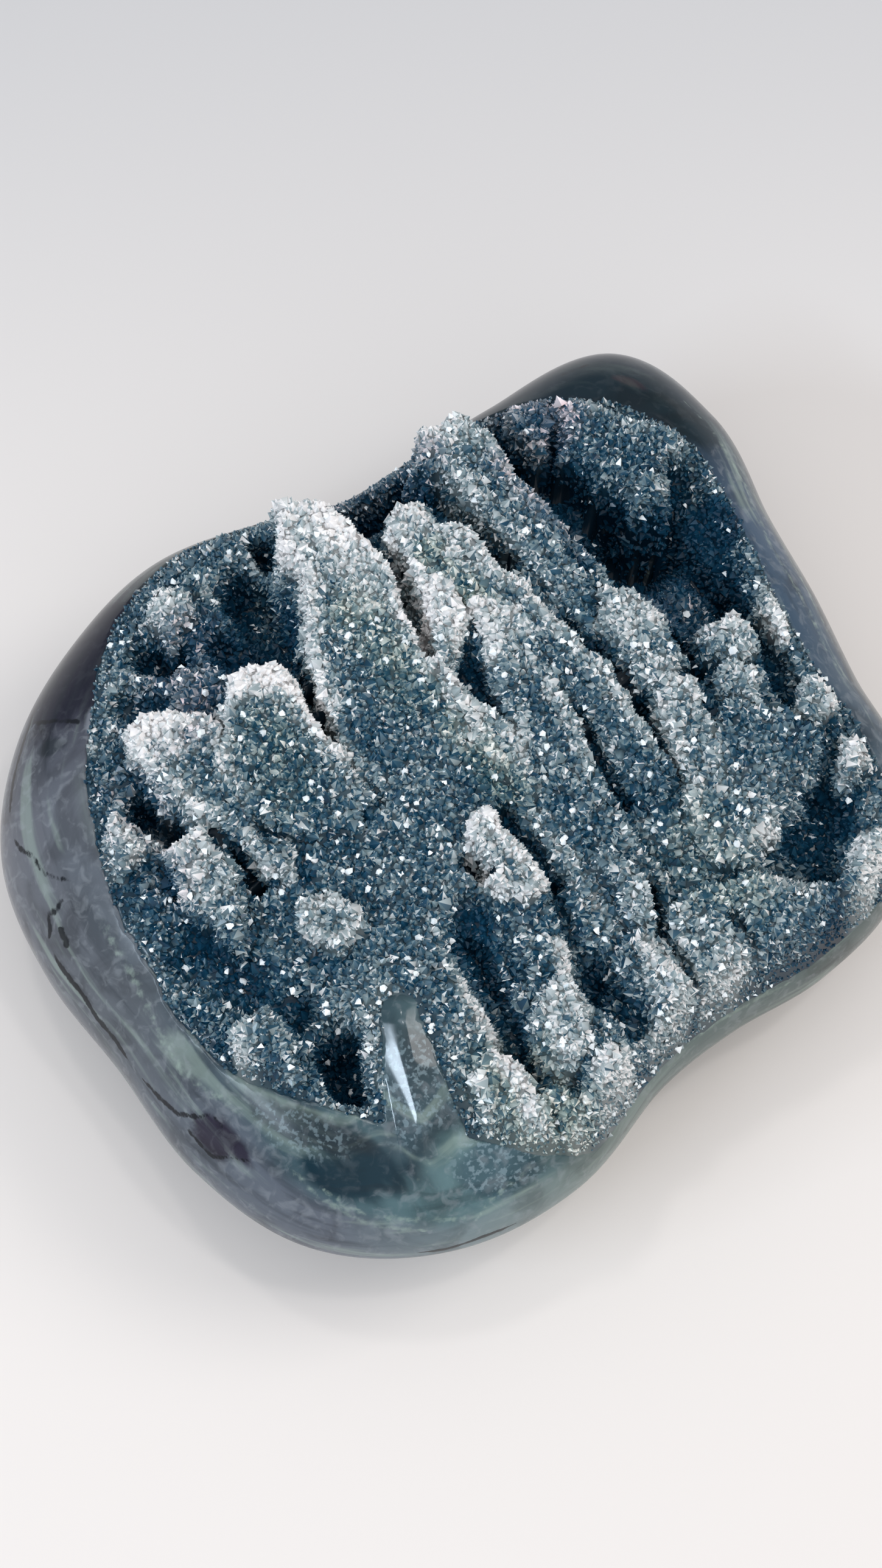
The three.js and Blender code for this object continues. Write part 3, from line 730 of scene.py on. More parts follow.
@dataclass(frozen=True)
class Line:
    """A line on the polished face, through places given by bearing in degrees and height."""

    places: tuple[tuple[float, float], ...]
    half: float

    def away(self, points: np.ndarray, stone: Stone) -> np.ndarray:
        """Distance of points from the line in half widths, which shrink to a fifth at its ends.

        Each straight piece of the line gives the distance from the nearest place on it, and the smallest
        counts.

        Args:
            points: rows of x, y and z.
            stone: the stone that the line lies on.

        Returns:
            One number for each point.
        """
        corners = np.array([stone.place(*place) for place in self.places])
        runs = np.linalg.norm(np.diff(corners, axis=0), axis=1)
        before = np.concatenate([[0.0], np.cumsum(runs)])
        nearest = np.full(len(points), 1e3)
        for start, end, run, gone in zip(corners[:-1], corners[1:], runs, before):
            along = np.clip((points - start) @ (end - start) / run**2, 0, 1)
            gap = np.linalg.norm(points - start - along[:, None] * (end - start), axis=1)
            share = (gone + along * run) / before[-1]
            width = self.half * (0.2 + 0.8 * smooth(0, 0.2, np.minimum(share, 1 - share)))
            nearest = np.minimum(nearest, gap / width)
        return nearest


@dataclass(frozen=True)
class Spot:
    """A ragged patch on the polished face, with its half sizes round the stone and up the wall."""

    bearing: float
    height: float
    round: float
    up: float
    colour: str
    amount: float

    def cover(self, points: np.ndarray, stone: Stone) -> np.ndarray:
        """How strongly the patch covers points: its amount inside and 0 outside, with a noisy edge."""
        middle = stone.place(self.bearing, self.height)
        turn = math.radians(self.bearing)
        offset = points - middle
        level = offset @ np.array([-math.sin(turn), math.cos(turn), 0.0])
        steep = np.sqrt(np.maximum((offset**2).sum(1) - level**2, 0))
        away = np.hypot(level / self.round, steep / self.up)
        ragged = 0.3 * rolling_noise(points[:, 0] + points[:, 2], points[:, 1] - points[:, 2], 3, SEED + 91)
        return self.amount * smooth(1.2, 0.75, away + ragged)


@dataclass(frozen=True)
class Zone:
    """The ground colour at a bearing, above and below a border at some height."""

    bearing: float
    upper: str
    lower: str
    border: float


@dataclass(frozen=True)
class AgateBody:
    """The polished agate, which fills everything under the crust too."""

    stone: Stone = Stone()
    relief: Relief = Relief()
    finish: AgateFinish = AgateFinish()
    column_steps: tuple[tuple[float, float], ...] = (
        (0, 0.6), (30, 0.6), (45, 1.0), (110, 0.8), (125, 0.27), (235, 0.27), (255, 0.6), (360, 0.6),
    )
    hidden_step: float = 3.0
    fine_step: float = 0.48
    flank_rings: int = 16
    under_crust: float = 1.8
    border_half: float = 1.5
    under_crust_shade_colour: str = "0a1c28"
    zones: tuple[Zone, ...] = (
        Zone(0, "44566a", "5c6468", 30),
        Zone(15, "1a2a36", "2c3a42", 30),
        Zone(45, "14222c", "263640", 30),
        Zone(75, "1c262d", "262e35", 32),
        Zone(110, "20242e", "2c3038", 33),
        Zone(132, "2b2b38", "3a3f49", 33),
        Zone(150, "63676f", "65676e", 34),
        Zone(180, "525a61", "595e64", 34),
        Zone(200, "3a4b54", "585f69", 33),
        Zone(212, "3f555c", "5f656f", 29),
        Zone(225, "5b7579", "75858a", 26),
        Zone(245, "54686b", "75847f", 28),
        # The near-right zones, about bearings 262 to 300, are partly the agate's own grey and partly painted shade
        # on the thin strip of wall under the crust's edge.
        Zone(262, "4d5d62", "5f6c6a", 28),
        Zone(300, "48555c", "586260", 30),
        Zone(335, "405264", "585e62", 30),
    )
    spots: tuple[Spot, ...] = (
        Spot(27, 37.8, 14, 8, "12242d", 0.9),
        Spot(25, 37, 3.5, 1.6, "33262f", 0.7),
        Spot(126, 33, 14, 11, "1c1d29", 0.85),
        Spot(140, 34.6, 1.6, 3, "2a3036", 0.8),
        Spot(137.5, 38.5, 2.5, 1.2, "888d96", 0.6),
        Spot(196.5, 29.3, 6.2, 3.0, "2c2836", 0.95),
        Spot(219.5, 39, 6.5, 11, "34464f", 0.85),
        Spot(213.5, 33.8, 8.6, 4.6, "0a2733", 0.95),
        Spot(230, 32, 7, 6, "38505a", 0.8),
        Spot(250, 27, 5.5, 0.8, "d6d3c8", 0.95),
        Spot(345, 24, 16, 3, "777061", 0.6),
        Spot(206, 36, 15, 3, "1e2930", 0.9),
        Spot(16, 36.5, 8, 5, "14262e", 0.8),
    )
    specks: tuple[Spot, ...] = (
        Spot(219.5, 40, 7, 9, "", 0.4),
        Spot(230, 33, 8, 6.5, "", 0.4),
        Spot(206, 35.5, 9, 3.5, "", 0.3),
    )
    shine: Spot = Spot(219.5, 40, 7, 12, "", 1.0)
    veins: tuple[Line, ...] = (
        Line(((163, 36), (171, 35), (177, 34), (185, 32.5), (190, 32.5), (194, 33.5), (201, 34)), 0.8),
        Line(((160, 38), (168, 37), (176, 36.5), (184, 35.5), (192, 36), (200, 36.5)), 0.5),
        Line(((202, 33.5), (205, 32.5), (210, 30), (216, 27), (224, 25)), 0.4),
        Line(((227, 25), (229, 28), (231, 29), (233, 29.5), (235, 31.5), (239, 33.5)), 0.6),
        Line(((224, 37.5), (225, 35.5), (226, 33), (225, 30)), 0.5),
        Line(((206, 34), (208, 37), (213, 38.5), (219, 37.5), (222, 34), (219, 31), (213, 30), (207, 32)), 0.5),
        Line(((209, 30), (216, 28.5), (222, 27.5), (228, 26)), 0.5),
        Line(((20, 33), (3, 31.5), (352, 33.5), (341, 33), (331, 33), (322, 31)), 0.7),
        Line(((10, 28), (352, 29.5), (338, 30), (325, 29)), 0.5),
        Line(((256, 27), (266, 25), (280, 24)), 0.7),
    )
    cracks: tuple[Line, ...] = (
        Line(((134, 28.4), (135, 31.5), (136, 34.8), (138, 38.4)), 0.5),
        Line(((131, 27), (134, 28.4), (137, 28.3), (141, 27.9), (145, 27.7), (148, 27.9)), 0.5),
        Line(((149, 27.8), (152, 29.8), (154, 31.5), (157, 32.2), (159, 33.8), (161, 35.9)), 0.45),
        Line(((161, 33.8), (162, 31.3), (161.5, 30), (163, 28.9), (164, 27)), 0.5),
        Line(((163.5, 30.6), (167, 29.8)), 0.7),
        Line(((164, 27), (167, 26.5), (172, 26.6), (175, 25.6), (178, 25.6), (183, 25)), 0.5),
        Line(((183, 25), (188, 26.5), (191, 27.6), (194, 30.3), (195, 31.6), (197, 31.2), (198, 32.1), (202, 32.7)), 0.4),
        Line(((191, 27.4), (194, 26.9), (197, 26.5), (199, 28.6), (202, 30.3), (202, 32.3)), 0.35),
        Line(((202, 33.7), (204, 32.6), (207, 31.6), (209, 30.4)), 0.3),
        Line(((221, 20), (224, 19.6), (228, 20.6), (232, 20.4)), 0.4),
        Line(((36, 35.9), (34, 35.5), (31, 34.6)), 0.5),
    )

    def upper(self, bearing: np.ndarray, share: np.ndarray) -> np.ndarray:
        """The upper face at bearings and shares of the outline.

        Outside the seam it is the dome. Inside, it sinks under the crust within a millimetre or two.
        """
        radius = self.stone.radius(self.stone.outline_radii, bearing) * share
        x, y = radius * np.cos(bearing), radius * np.sin(bearing)
        dome = self.stone.polished(x, y)
        inside = self.stone.inside_seam(x, y)
        bed = np.minimum(dome, self.relief.height(x, y)) - self.under_crust
        z = dome + (bed - dome) * smooth(0, 1.2, inside)
        return np.stack([x, y, z], -1)

    def shares(self) -> np.ndarray:
        """Shares of the outline for the rings, at even steps along the profile of an average bearing.

        The steps are wide where the crust hides the stone and fine towards the rim and the wall.
        """
        share = np.linspace(0, 1, 4001)
        radius = np.mean(self.stone.outline_radii)
        run = np.concatenate([[0], np.cumsum(np.hypot(radius * np.diff(share), np.diff(self.stone.dome(share))))])
        change = float(np.interp(0.64, share, run))
        wide = np.arange(self.hidden_step, change, self.hidden_step)
        fine = np.linspace(change, run[-1], int((run[-1] - change) / self.fine_step) + 1)
        return np.interp(np.concatenate([wide, fine]), run, share)

    def ground(self, points: np.ndarray) -> np.ndarray:
        """Linear ground colour at points: the zones blended round the stone, then the spots.

        Each zone changes from its lower to its upper colour at its border. Under the crust the stone is
        painted dark, as painted shade between the quartz points, so that nothing pale shows there.
        """
        bearing = np.degrees(np.arctan2(points[:, 1], points[:, 0])) % 360
        turns = np.array([zone.bearing for zone in self.zones] + [360.0])
        closed = (*self.zones, self.zones[0])
        upper = np.array([linear(zone.upper) for zone in closed])
        lower = np.array([linear(zone.lower) for zone in closed])
        border = np.interp(bearing, turns, [zone.border for zone in closed])
        border = border + rolling_noise(points[:, 0], points[:, 1], 6, SEED + 95)
        high = smooth(-self.border_half, self.border_half, points[:, 2] - border)[:, None]
        above = np.stack([np.interp(bearing, turns, upper[:, k]) for k in range(3)], -1)
        below = np.stack([np.interp(bearing, turns, lower[:, k]) for k in range(3)], -1)
        colour = below + (above - below) * high
        for spot in self.spots:
            colour = colour + (linear(spot.colour) - colour) * spot.cover(points, self.stone)[:, None]
        # Painted shade: the face under the crust takes a dark colour for the shade between the quartz points.
        inside = self.stone.inside_seam(points[:, 0], points[:, 1])
        painted_shade_under_crust = (smooth(0.1, 0.8, inside) * (points[:, 2] > self.stone.waist_height))[:, None]
        return colour + (linear(self.under_crust_shade_colour) - colour) * painted_shade_under_crust

    def turns(self) -> np.ndarray:
        """Bearings of the mesh's columns in radians, close together where column_steps is small."""
        line = np.linspace(0, 360, 7201)
        places, steps = zip(*self.column_steps)
        density = 1 / np.interp(line, places, steps)
        total = np.concatenate([[0], np.cumsum((density[1:] + density[:-1]) / 2 * np.diff(line))])
        count = int(total[-1])
        return np.radians(np.interp(np.arange(count) / count * total[-1], total, line))

    def build(self) -> bpy.types.Object:
        """Rings from the top over the waist to the flat underneath, closed at both poles.

        Below the waist the share of the outline falls to the flat's as a power of the cosine, while the
        height falls as the same power of the sine.
        """
        turns = self.turns()
        upper = self.upper(*np.meshgrid(turns, self.shares()))
        drop = np.linspace(0, 1, self.flank_rings + 1)[1:] * np.pi / 2
        bearing, drop = np.meshgrid(turns, drop)
        power = 2 / self.stone.base_round
        share = self.stone.base_share + (1 - self.stone.base_share) * np.maximum(np.cos(drop), 0) ** power
        radius = self.stone.radius(self.stone.outline_radii, bearing) * share
        height = self.stone.waist_height * (1 - np.sin(drop) ** power)
        lower = np.stack([radius * np.cos(bearing), radius * np.sin(bearing), height], -1)
        rings = np.concatenate([upper, lower])
        top = self.upper(np.zeros(1), np.zeros(1))
        points = np.concatenate([rings.reshape(-1, 3), top, [[0, 0, 0]]])
        n = len(turns)
        i, j = np.meshgrid(np.arange(len(rings) - 1), np.arange(n), indexing="ij")
        k = (j + 1) % n
        a, b, c, d = i * n + j, (i + 1) * n + j, (i + 1) * n + k, i * n + k
        quads = np.stack([a, b, c, d], -1).reshape(-1, 4)
        faces = np.concatenate([quads[:, [0, 1, 2]], quads[:, [0, 2, 3]]])
        j = np.arange(n)
        k = (j + 1) % n
        last = (len(rings) - 1) * n
        caps = [[np.full(n, len(points) - 2), j, k], [np.full(n, len(points) - 1), last + k, last + j]]
        faces = np.concatenate([faces, *(np.stack(cap, -1) for cap in caps)])
        piece = make_mesh("polished_agate", points, faces, True)
        add_field(piece, "ground", self.ground(points))
        cover = [patch.cover(points, self.stone) for patch in self.specks]
        add_field(piece, "speck", np.max(cover, axis=0))
        add_field(piece, "shine", self.shine.cover(points, self.stone))
        for name, lines in (("vein", self.veins), ("crack", self.cracks)):
            away = [line.away(points, self.stone) for line in lines]
            add_field(piece, name, np.minimum(np.min(away, axis=0), 20))
        self.finish.dress(piece)
        return piece


@dataclass(frozen=True)
class Shade(Stretch):
    """A stretch of the crust that is paler or darker than its form alone makes it."""

    half: float
    amount: float

    def add(self, x: np.ndarray, y: np.ndarray) -> np.ndarray:
        """What the stretch adds to the paleness of places."""
        _, across, past = self.beside(x, y)
        return self.amount * (1 - smooth(0.3, 1.3, np.hypot(across, past) / self.half))


@dataclass(frozen=True)
class Palette:
    """The crust's colours from its darkest hollows to its palest quartz, and two leanings of hue."""

    tones: tuple[tuple[float, str], ...] = (
        (0.0, "0a3046"),
        (0.15, "164058"),
        (0.3, "2b4f62"),
        (0.45, "4b6472"),
        (0.6, "70848a"),
        (0.8, "b1babc"),
        (1.0, "efebea"),
    )
    purple: tuple[float, float, float] = (1.2, 0.95, 1.0)
    green: tuple[float, float, float] = (1.06, 1.05, 0.9)

    def colour(self, pale: np.ndarray) -> np.ndarray:
        """Linear colour of a paleness from 0 to 1, blended between the tones."""
        steps = [share for share, _ in self.tones]
        stops = np.array([linear(code) for _, code in self.tones])
        return np.stack([np.interp(pale, steps, stops[:, channel]) for channel in range(3)], -1)


@dataclass
class DruzyCrust:
    """The seam's crust: a bed on the relief, and quartz points that stand on it."""

    relief: Relief = field(default_factory=Relief)
    palette: Palette = field(default_factory=Palette)
    finish: QuartzFinish = field(default_factory=QuartzFinish)
    grid_step: float = 0.35
    bed_step: int = 2
    overlap: float = 0.9
    bed_painted_shade: float = 0.42
    points_per_mm2: float = 1.9
    batches: int = 4
    typical_size: float = 0.64
    point_variety: float = 0.1
    facet_variety: float = 0.26
    painted_reflection_share: float = 0.1
    painted_reflection_lift: float = 0.45
    base_pale: float = 0.35
    # Painted glints: the share of points whose up-facing faces are painted near white as highlights, and that
    # colour.
    painted_glint_share: float = 0.022
    painted_glint_colour: tuple[float, float, float] = (0.9, 0.94, 0.96)
    # Stretches that make the crust paler or darker; the darker ones along grooves and hollows are partly the
    # quartz's own tone and partly painted shade.
    shades: tuple[Shade, ...] = (
        Shade(8, -36, 4, -52, 12, 0.1),
        Shade(-55, -2, -52, -17, 6, -0.14),
        Shade(-14, 9, -19, -3, 3.5, -0.12),
        Shade(10, 40, 22, 38, 6, -0.15),
        Shade(-24, -24, -27, -33, 4, -0.1),
        Shade(50, 24, 47, 14, 7, -0.1),
        Shade(14, 1, 12, -29, 2.2, -0.34),
        Shade(43, 22.5, 46, 7.3, 3.5, -0.3),
        Shade(36.4, 37.5, 41.4, 32.8, 4, -0.22),
        Shade(22.5, 36.2, 15.7, 23.9, 2, -0.3),
        Shade(-38, 3, -38, -1.5, 3, -0.35),
        Shade(-24.9, 42.4, -25.7, 32.9, 4, -0.2),
        Shade(-57.4, 20.6, -58.2, 2.9, 3.5, -0.2),
        Shade(-27.7, 21.9, -35.7, 9.9, 4, -0.12),
        Shade(-57.1, -16.1, -59.3, -27.7, 3.5, -0.25),
        Shade(-27, -41, -30, -46, 2, -0.2),
        Shade(-29, -55, -30.5, -58, 2, -0.2),
        Shade(34, -35, 32, -38, 2.5, -0.2),
        Shade(-51, 12, -52, 9, 2, -0.25),
        Shade(43, 31, 46, 24, 5, -0.12),
        Shade(4, -10, 0, -20, 3, -0.12),
        Shade(21, -5, 22.5, -15, 3, -0.2),
        Shade(6, 2, 2.5, -3.5, 2.5, -0.25),
        Shade(11.5, 25, 11.5, 14, 1.6, -0.22),
        Shade(-44, 24, -44, 18, 1.2, -0.2),
        Shade(34, -46.5, 32, -49, 3, -0.3),
        Shade(19.5, -59, 16.5, -63, 3, -0.3),
        Shade(-17, 12, -21.5, 1, 2, -0.2),
        Shade(-18.5, 41.5, -19, 37.5, 3, -0.2),
        Shade(-62.5, -6, -61.5, -13, 3, -0.2),
        Shade(36, 37, 29, 25.5, 3, -0.12),
        Shade(54, 15.5, 47, 8, 3, -0.2),
        Shade(55, 3.5, 55, -1, 3, -0.35),
        Shade(-40.5, 8.5, -38, 2, 2, -0.2),
        Shade(9.2, -56.1, 20.6, -58.8, 5, -0.2),
        Shade(39.6, -32.3, 35, -38, 2.5, -0.25),
        Shade(27.9, -11.3, 35.5, -16.9, 3, -0.2),
        Shade(56, 1.7, 45.1, -15.5, 3.5, -0.15),
        Shade(31.9, 24.2, 30.3, 7.3, 2, -0.25),
        Shade(3.3, 14.6, 2.4, 8.2, 1.6, -0.25),
        Shade(8.2, -27, 10.1, -31.5, 2, -0.2),
        Shade(4.7, 38.8, -0.7, 24.3, 3.5, 0.25),
        Shade(-4.8, 43.8, -9.9, 38, 3.5, 0.25),
        Shade(4.8, 19.1, -0.4, 10.7, 2, 0.25),
        Shade(-18.2, 18.7, -21.1, -5.1, 2, 0.25),
        Shade(-48.5, 21, -48, 15, 2.5, 0.45),
        Shade(-39, 29.5, -37, 24, 3, 0.2),
        Shade(-24, 25.5, -19, 22, 3, 0.2),
        Shade(2, 18.5, 3.5, 16.5, 1.8, 0.3),
        Shade(-22, 33, -22, 31.5, 2, 0.25),
        Shade(-49, 7, -50, 3.5, 2, 0.3),
        Shade(-41.5, -26, -41, -28, 3, 0.2),
        Shade(-29, -33.5, -32, -41, 2.5, 0.25),
        Shade(18.5, -44.5, 21, -50, 2.5, 0.3),
        Shade(16, 25, 15, 22, 1.5, 0.25),
        Shade(22, 17.5, 20, 8, 1.8, 0.2),
        Shade(-20.5, 14, -21, 12, 1.5, 0.25),
        Shade(-16, -36.5, -17, -39.5, 2, 0.25),
        Shade(-47, 38.5, -47, 36.5, 2, 0.3),
        Shade(-37.5, -35.5, -41.5, -43, 2.5, 0.2),
        Shade(42.8, -5.8, 40.1, -13.8, 4, 0.2),
        Shade(-4.5, -19.2, -8.3, -38.5, 2, 0.2),
        Shade(-5.8, -44.7, -5.9, -49.8, 3, 0.3),
        Shade(-16.2, -36.4, -18.2, -42.2, 2.5, 0.22),
        Shade(-29.8, -27.6, -36.7, -50.1, 2.2, 0.3),
        Shade(-38.5, -53.2, -38.5, -59.3, 3, 0.2),
        Shade(16.3, -48.1, 18.8, -54.4, 3.5, 0.25),
    )
    greens: tuple[Shade, ...] = (
        Shade(12, 24, 12, 11, 3, 1.0),
        Shade(-3, 24, -6, 8, 5, 0.7),
        Shade(-4, 0, -6, -14, 4, 0.8),
        Shade(-36, -46, -36, -58, 8, 0.8),
        Shade(-27, 18, -30, 8, 6, 0.5),
        Shade(10, -38, 8, -46, 8, 0.5),
    )
    purples: tuple[Shade, ...] = (
        Shade(-25, 37, -34, 31, 9, 1.0),
        Shade(10, 42, 22, 39, 6, 0.8),
        Shade(43, 37, 45, 30, 6, 1.0),
        Shade(33, 28, 33, 10, 4, 0.6),
        Shade(42, 0, 40, -8, 8, 0.6),
        Shade(-48, 26, -52, 10, 6, 0.4),
    )

    def survey(self) -> None:
        """Works out height, slope, paleness and depth on a fine square net over the seam."""
        reach = max(self.relief.stone.rim_radii) + 3
        line = np.arange(-reach, reach, self.grid_step)
        self.x, self.y = np.meshgrid(line, line, indexing="ij")
        self.z = self.relief.height(self.x, self.y)
        self.inside = self.relief.stone.inside_seam(self.x, self.y)
        self.dome = self.relief.stone.polished(self.x, self.y)
        self.slope_x, self.slope_y = np.gradient(self.z, self.grid_step)
        self.white = self.relief.white(self.x, self.y)
        self.rise = self.z - self.blurred(self.z, 2.5)

    def blurred(self, values: np.ndarray, width: float) -> np.ndarray:
        """Values averaged over a bell of the given width in millimetres, along X and then Y."""
        reach = int(3 * width / self.grid_step)
        bell = np.exp(-0.5 * (np.arange(-reach, reach + 1) * self.grid_step / width) ** 2)
        bell /= bell.sum()
        for axis in (0, 1):
            ends = [(reach, reach) if a == axis else (0, 0) for a in (0, 1)]
            padded = np.pad(values, ends, mode="edge")
            size = values.shape[axis]
            values = sum(w * np.take(padded, np.arange(k, k + size), axis) for k, w in enumerate(bell))
        return values

    def at(self, values: np.ndarray, x: np.ndarray, y: np.ndarray) -> np.ndarray:
        """A surveyed value at any places, by blending the four net corners round each."""
        u = (x - self.x[0, 0]) / self.grid_step
        v = (y - self.y[0, 0]) / self.grid_step
        i, j = np.floor(u).astype(int), np.floor(v).astype(int)
        s, t = u - i, v - j
        near = values[i, j] * (1 - s) + values[i + 1, j] * s
        far = values[i, j + 1] * (1 - s) + values[i + 1, j + 1] * s
        return near * (1 - t) + far * t

    def paleness(self, x: np.ndarray, y: np.ndarray) -> np.ndarray:
        """How pale the quartz is at places, 0 to 1.

        A base level rises on crests, where the quartz is whiter, and falls in grooves and with depth below the dome
        as painted shade; the ledges' whites bring it the rest of the way up, and the shades add their own.
        """
        depth = self.at(self.dome, x, y) - self.at(self.z, x, y)
        crest = self.at(self.rise, x, y)
        streak = 0.13 * rolling_noise(x - 0.15 * y, y / 4, 3.5, SEED + 35)
        # The crest term makes crests paler, the whiter quartz there, and local grooves darker, painted shade.
        level = self.base_pale + 0.07 * rolling_noise(x, y, 9, SEED + 31) + streak + 0.09 * np.clip(crest, -2, 2)
        # Painted shade: darker the deeper a place lies below the dome.
        level = level - 0.38 * smooth(4.5, 11, depth)
        level = np.clip(level, 0.02, 1)
        white = self.at(self.white, x, y) * (1 - 0.25 * np.abs(rolling_noise(x, y, 3.2, SEED + 41)))
        level = level + (1 - level) * np.clip(white, 0, 1) ** 1.1
        return np.clip(level + sum(shade.add(x, y) for shade in self.shades), 0, 1)

    def hue(self, x: np.ndarray, y: np.ndarray, pale: np.ndarray) -> np.ndarray:
        """What each place's colour is multiplied by to lean it to green or purple, unless it is pale."""
        lean = np.ones((len(x), 3))
        for colour, shades in ((self.palette.green, self.greens), (self.palette.purple, self.purples)):
            share = sum(shade.add(x, y) for shade in shades)
            share = np.clip(share * (0.8 + 0.6 * rolling_noise(x, y, 4, SEED + 51)), 0, 1)
            share = share * smooth(0.9, 0.6, pale)
            lean = lean * (1 + (np.array(colour) - 1) * share[:, None])
        return lean

    def build_bed(self) -> bpy.types.Object:
        """The surface that the points stand on: the relief on a square net, cut to the seam."""
        pick = slice(None, None, self.bed_step)
        x, y, z, inside = (v[pick, pick] for v in (self.x, self.y, self.z, self.inside))
        z = np.where(inside < 0, np.minimum(z, self.dome[pick, pick]) + 0.8 * np.minimum(inside, 0), z) - 0.25
        keep = inside > -self.overlap
        cells = keep[:-1, :-1] & keep[1:, :-1] & keep[1:, 1:] & keep[:-1, 1:]
        i, j = np.nonzero(cells)
        wide = x.shape[1]
        corners = np.stack([i * wide + j, (i + 1) * wide + j, (i + 1) * wide + j + 1, i * wide + j + 1], -1)
        used, faces = np.unique(corners, return_inverse=True)
        top = np.stack([x.ravel()[used], y.ravel()[used], z.ravel()[used]], -1)
        piece = make_mesh("crust_bed", top, faces.reshape(-1, 4), True)
        x, y = top[:, 0], top[:, 1]
        pale = self.paleness(x, y)
        # Painted shade: the bed is painted darker than the quartz, so the gaps between points read dark.
        add_field(piece, "tint", self.palette.colour(pale) * self.hue(x, y, pale) * self.bed_painted_shade)
        self.finish.dress(piece)
        return piece

    def sow(self, rng: np.random.Generator) -> tuple[np.ndarray, np.ndarray]:
        """Places for the points, spread evenly over the sloping surface.

        Each net cell gets its true area's share of the points, by counting at even steps through the
        running total of area.
        """
        slope = np.sqrt(1 + self.slope_x**2 + self.slope_y**2)
        area = np.minimum(slope, 5)[:-1, :-1] * self.grid_step**2 * (self.inside[:-1, :-1] > 0)
        total = np.cumsum(area.ravel())
        count = int(total[-1] * self.points_per_mm2)
        marks = (np.arange(count) + rng.uniform(0, 1, count)) * total[-1] / count
        cell = np.searchsorted(total, marks)
        i, j = np.unravel_index(cell, area.shape)
        x = self.x[i, j] + rng.uniform(0, 1, count) * self.grid_step
        y = self.y[i, j] + rng.uniform(0, 1, count) * self.grid_step
        return x, y

    def build_points(self) -> list[bpy.types.Object]:
        """Closed six-sided points, each tilted at random from the surface's own normal.

        A point is a ring of six corners sunk in the bed and an apex that stands off the ring's middle, so
        its faces are unequal as a quartz termination's are.
        """
        rng = np.random.default_rng(SEED)
        x, y = self.sow(rng)
        count = len(x)
        centre = np.stack([x, y, self.at(self.z, x, y)], -1)
        normal = np.stack([-self.at(self.slope_x, x, y), -self.at(self.slope_y, x, y), np.ones(count)], -1)
        normal /= np.linalg.norm(normal, axis=1, keepdims=True)
        normal += rng.normal(0, 0.25, (count, 3))
        normal /= np.linalg.norm(normal, axis=1, keepdims=True)
        side = np.cross(normal, rng.normal(0, 1, (count, 3)))
        side /= np.linalg.norm(side, axis=1, keepdims=True)
        other = np.cross(normal, side)
        edge = self.at(self.inside, x, y)
        size = np.clip(rng.lognormal(math.log(self.typical_size), 0.28, count), 0.35, 1.3)
        size *= 0.6 + 0.4 * smooth(0.3, 3, edge)
        # Painted glints: points picked to have their upward faces painted near white as highlights, set a little
        # proud of the others.
        glint = rng.uniform(0, 1, count) < self.painted_glint_share * self.painted_glint_odds(x, y)
        size = np.where(glint, np.clip(size, 0.45, 0.7), size)
        centre = centre + np.where(glint, 0.25, 0.0)[:, None] * normal
        turn = np.arange(6) * np.pi / 3
        reach = size[:, None] * rng.uniform(0.8, 1.2, (count, 6))
        ring = centre[:, None, :] - 0.45 * size[:, None, None] * normal[:, None, :]
        ring = ring + (reach * np.cos(turn))[:, :, None] * side[:, None, :]
        ring = ring + (reach * np.sin(turn))[:, :, None] * other[:, None, :]
        lean = rng.uniform(-0.3, 0.3, (count, 2)) * size[:, None]
        tall = size * rng.uniform(0.45, 0.85, count)
        apex = centre + tall[:, None] * normal + lean[:, :1] * side + lean[:, 1:] * other
        points = np.concatenate([ring, apex[:, None, :]], 1)
        k = np.arange(6)
        crown = np.stack([k, (k + 1) % 6, np.full(6, 6)], -1)
        under = np.array([[0, 2, 1], [0, 3, 2], [0, 4, 3], [0, 5, 4]])
        pattern = np.concatenate([crown, under])
        tint = self.facet_tints(rng, x, y)
        first, second, third = (points[:, pattern[:, n]] for n in range(3))
        facing = np.cross(second - first, third - first)
        level = facing[:, :, 2] / np.linalg.norm(facing, axis=2)
        # Painted highlights: the upward faces of glint points, and a few stray upward faces, take the painted glint
        # colour.
        bright = (glint[:, None] & (level > 0.3)) | ((rng.uniform(0, 1, level.shape) < 0.004) & (level > 0.5))
        tint = np.where(bright[:, :, None, None], np.array(self.painted_glint_colour), tint)
        pieces = []
        for number, chosen in enumerate(np.array_split(np.arange(count), self.batches), start=1):
            corners = points[chosen].reshape(-1, 3)
            faces = (np.arange(len(chosen))[:, None, None] * 7 + pattern[None]).reshape(-1, 3)
            piece = make_mesh(f"quartz_points_{number}", corners, faces, False)
            add_field(piece, "tint", tint[chosen].reshape(-1, 3), "CORNER")
            self.finish.dress(piece)
            pieces.append(piece)
        return pieces

    def painted_glint_odds(self, x: np.ndarray, y: np.ndarray) -> np.ndarray:
        """How often points get painted glints, 0 to 1: most in the middle and on the near left, least in deep
        hollows.
        """
        deep = self.at(self.dome, x, y) - self.at(self.z, x, y)
        crowd = 1 - smooth(30, 75, np.hypot(x + 15, y + 12))
        return (0.35 + 0.65 * crowd) * (1 - 0.8 * smooth(5, 9, deep))

